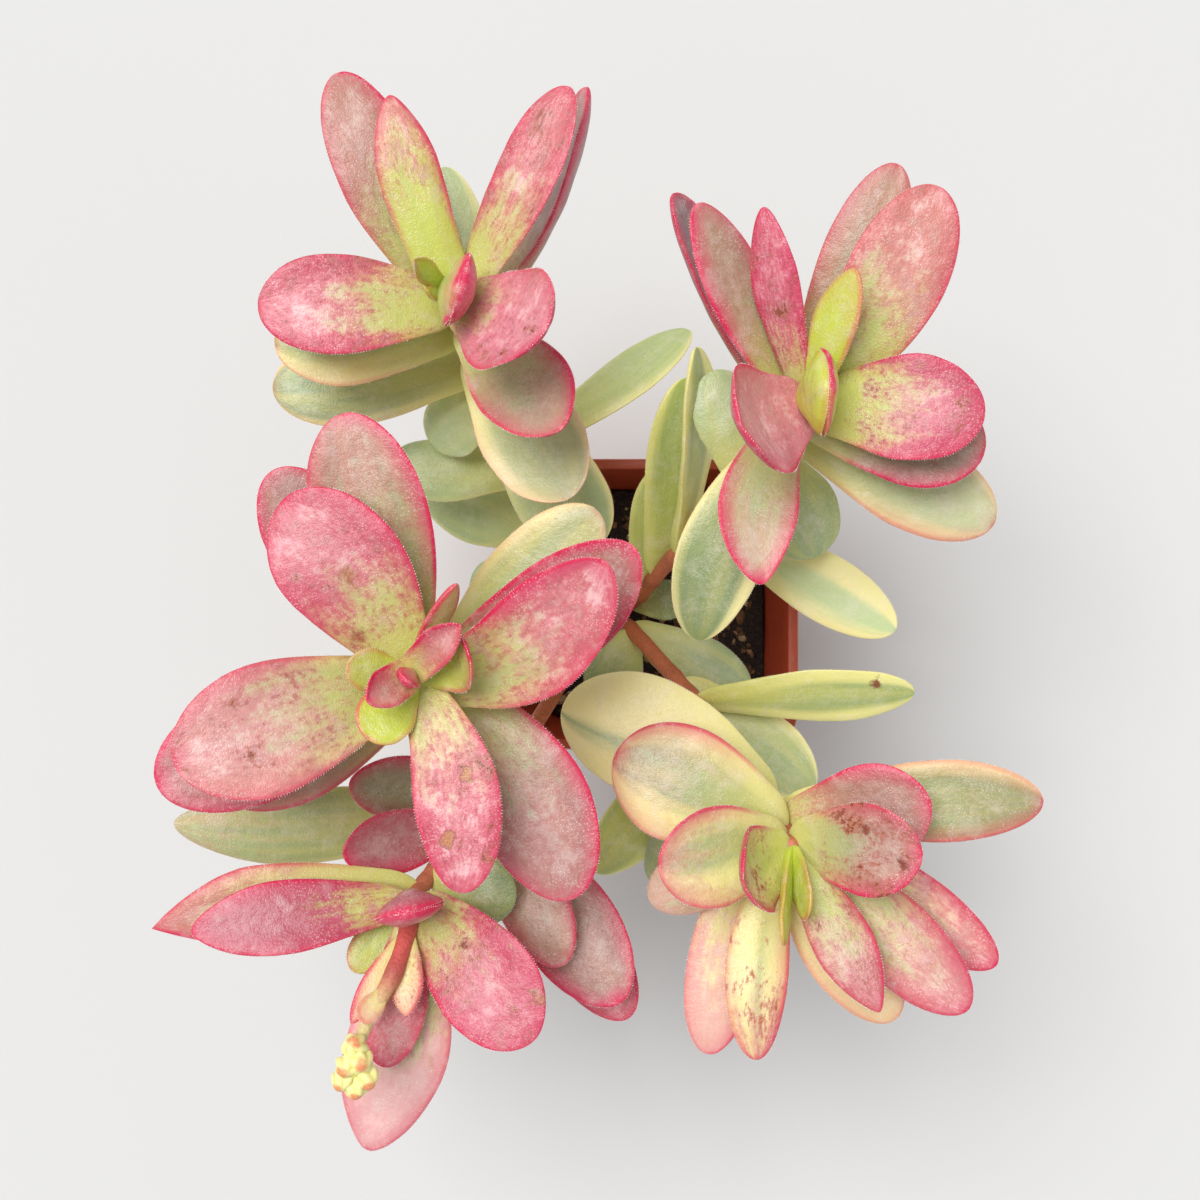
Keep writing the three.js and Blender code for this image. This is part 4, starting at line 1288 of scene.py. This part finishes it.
class SUCCULENT_OT_soil(bpy.types.Operator):
    """Fill the pot with crumbly potting mix and scatter its bits"""

    bl_idname = "succulent.soil"
    bl_label = "Fill with potting mix"

    def execute(self, context):
        pot, soil = context.scene.succulent_pot, context.scene.succulent_soil
        inset = 2 * (pot.wall + SOIL_GAP)
        low = FLOOR + SOIL_GAP
        low_side = wall_side(low, pot.height) - inset
        high_side = wall_side(soil.level, pot.height) - inset
        plug = rounded_plate(low_side, pot.corner, low)
        draw_profile(low_side, low, [(high_side, soil.level)])
        close_shape()
        apply_modifier(plug, "REMESH", mode="VOXEL", voxel_size=SOIL_VOXEL)
        raise_crumbs(plug.data, soil.level)
        shade_smooth(plug)
        finish_piece(plug, "potting_mix", soil_material(soil), "potting_mix", "soil")
        clear_selection()
        bpy.ops.mesh.primitive_ico_sphere_add(subdivisions=1, radius=1, calc_uvs=False)
        blank = bpy.context.object
        bits = scatter_bits(blank, soil, high_side / 2 - BITS_INSET)
        remove(blank)
        finish_piece(bits, "bark_and_grit", bits_material(soil), "potting_mix", "soil")
        return {"FINISHED"}


class SUCCULENT_OT_leafy_stems(bpy.types.Operator):
    """Grow the five leafy stems, each with its crossed leaf pairs"""

    bl_idname = "succulent.leafy_stems"
    bl_label = "Grow the leafy stems"

    def execute(self, context):
        colours = context.scene.succulent_stem
        bark = stem_material("Stem bark", colours.bark, colours.young)
        tools = stem_tools(context.scene.succulent_leaf)
        for count, (name, growth) in enumerate(PLANT.items()):
            grow_stem(name, growth, name, tools, bark, count)
        put_away(tools)
        return {"FINISHED"}


class SUCCULENT_OT_flower_stalk(bpy.types.Operator):
    """Grow the flower stalk with its bracts on the lower left stem"""

    bl_idname = "succulent.flower_stalk"
    bl_label = "Grow the flower stalk"

    def execute(self, context):
        colours = context.scene.succulent_stem
        bark = stem_material("Flower stalk bark", colours.stalk, colours.calyx, low=0.3, high=0.6)
        tools = stem_tools(context.scene.succulent_leaf)
        grow_stem("flower_stalk", STALK, "stem_lower_left", tools, bark, STALK_SEED)
        put_away(tools)
        return {"FINISHED"}


class SUCCULENT_OT_flower_buds(bpy.types.Operator):
    """Set the cluster of closed yellow buds on the flower stalk"""

    bl_idname = "succulent.flower_buds"
    bl_label = "Set the flower buds"

    def execute(self, context):
        blank = round_blank(*BUD_GRID)
        buds = []
        for number, place in enumerate(BUD_PLACES):
            bud = copy_of(blank)
            shape_bud(bud.data, np.array(BUD_CENTRE) + np.array(place), number * BUD_TURN)
            buds.append(bud)
        remove(blank)
        cluster = join_pieces(buds)
        shade_smooth(cluster)
        finish_piece(cluster, "bud_cluster", bud_material(context.scene.succulent_stem), "bud", "flower_buds")
        return {"FINISHED"}


class SUCCULENT_OT_stage(bpy.types.Operator):
    """Lay the plain floor and set the light and the camera"""

    bl_idname = "succulent.stage"
    bl_label = "Set the stage"

    def execute(self, context):
        settings = context.scene.succulent_stage
        lay_floor(settings.floor)
        light_stage(settings)
        place_camera()
        return {"FINISHED"}


class SUCCULENT_PT_panel(bpy.types.Panel):
    """The steps, in the order that they run"""

    bl_idname = "SUCCULENT_PT_panel"
    bl_label = "Potted succulent"
    bl_space_type = "VIEW_3D"
    bl_region_type = "UI"
    bl_category = "Succulent"

    def draw(self, context):
        for operator in OPERATORS:
            self.layout.operator(operator.bl_idname)
        for name in SETTINGS:
            box = self.layout.box()
            group = getattr(context.scene, name)
            for key in group.__annotations__:
                box.prop(group, key)


OPERATORS = (
    SUCCULENT_OT_pot,
    SUCCULENT_OT_soil,
    SUCCULENT_OT_leafy_stems,
    SUCCULENT_OT_flower_stalk,
    SUCCULENT_OT_flower_buds,
    SUCCULENT_OT_stage,
)
SETTINGS = {
    "succulent_pot": PotSettings,
    "succulent_soil": SoilSettings,
    "succulent_leaf": LeafSettings,
    "succulent_stem": StemSettings,
    "succulent_stage": StageSettings,
}


def register():
    for item in (*SETTINGS.values(), *OPERATORS, SUCCULENT_PT_panel):
        bpy.utils.register_class(item)
    for name, group in SETTINGS.items():
        setattr(bpy.types.Scene, name, bpy.props.PointerProperty(type=group))


def unregister():
    for name in SETTINGS:
        delattr(bpy.types.Scene, name)
    for item in (SUCCULENT_PT_panel, *reversed(OPERATORS), *SETTINGS.values()):
        bpy.utils.unregister_class(item)


def main():
    register()
    bpy.ops.succulent.pot()
    bpy.ops.succulent.soil()
    bpy.ops.succulent.leafy_stems()
    bpy.ops.succulent.flower_stalk()
    bpy.ops.succulent.flower_buds()
    bpy.ops.succulent.stage()
    sizes = {"cad": FRAME_BOX, "visual": [list(corner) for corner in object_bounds()]}


if __name__ == "__main__":
    main()
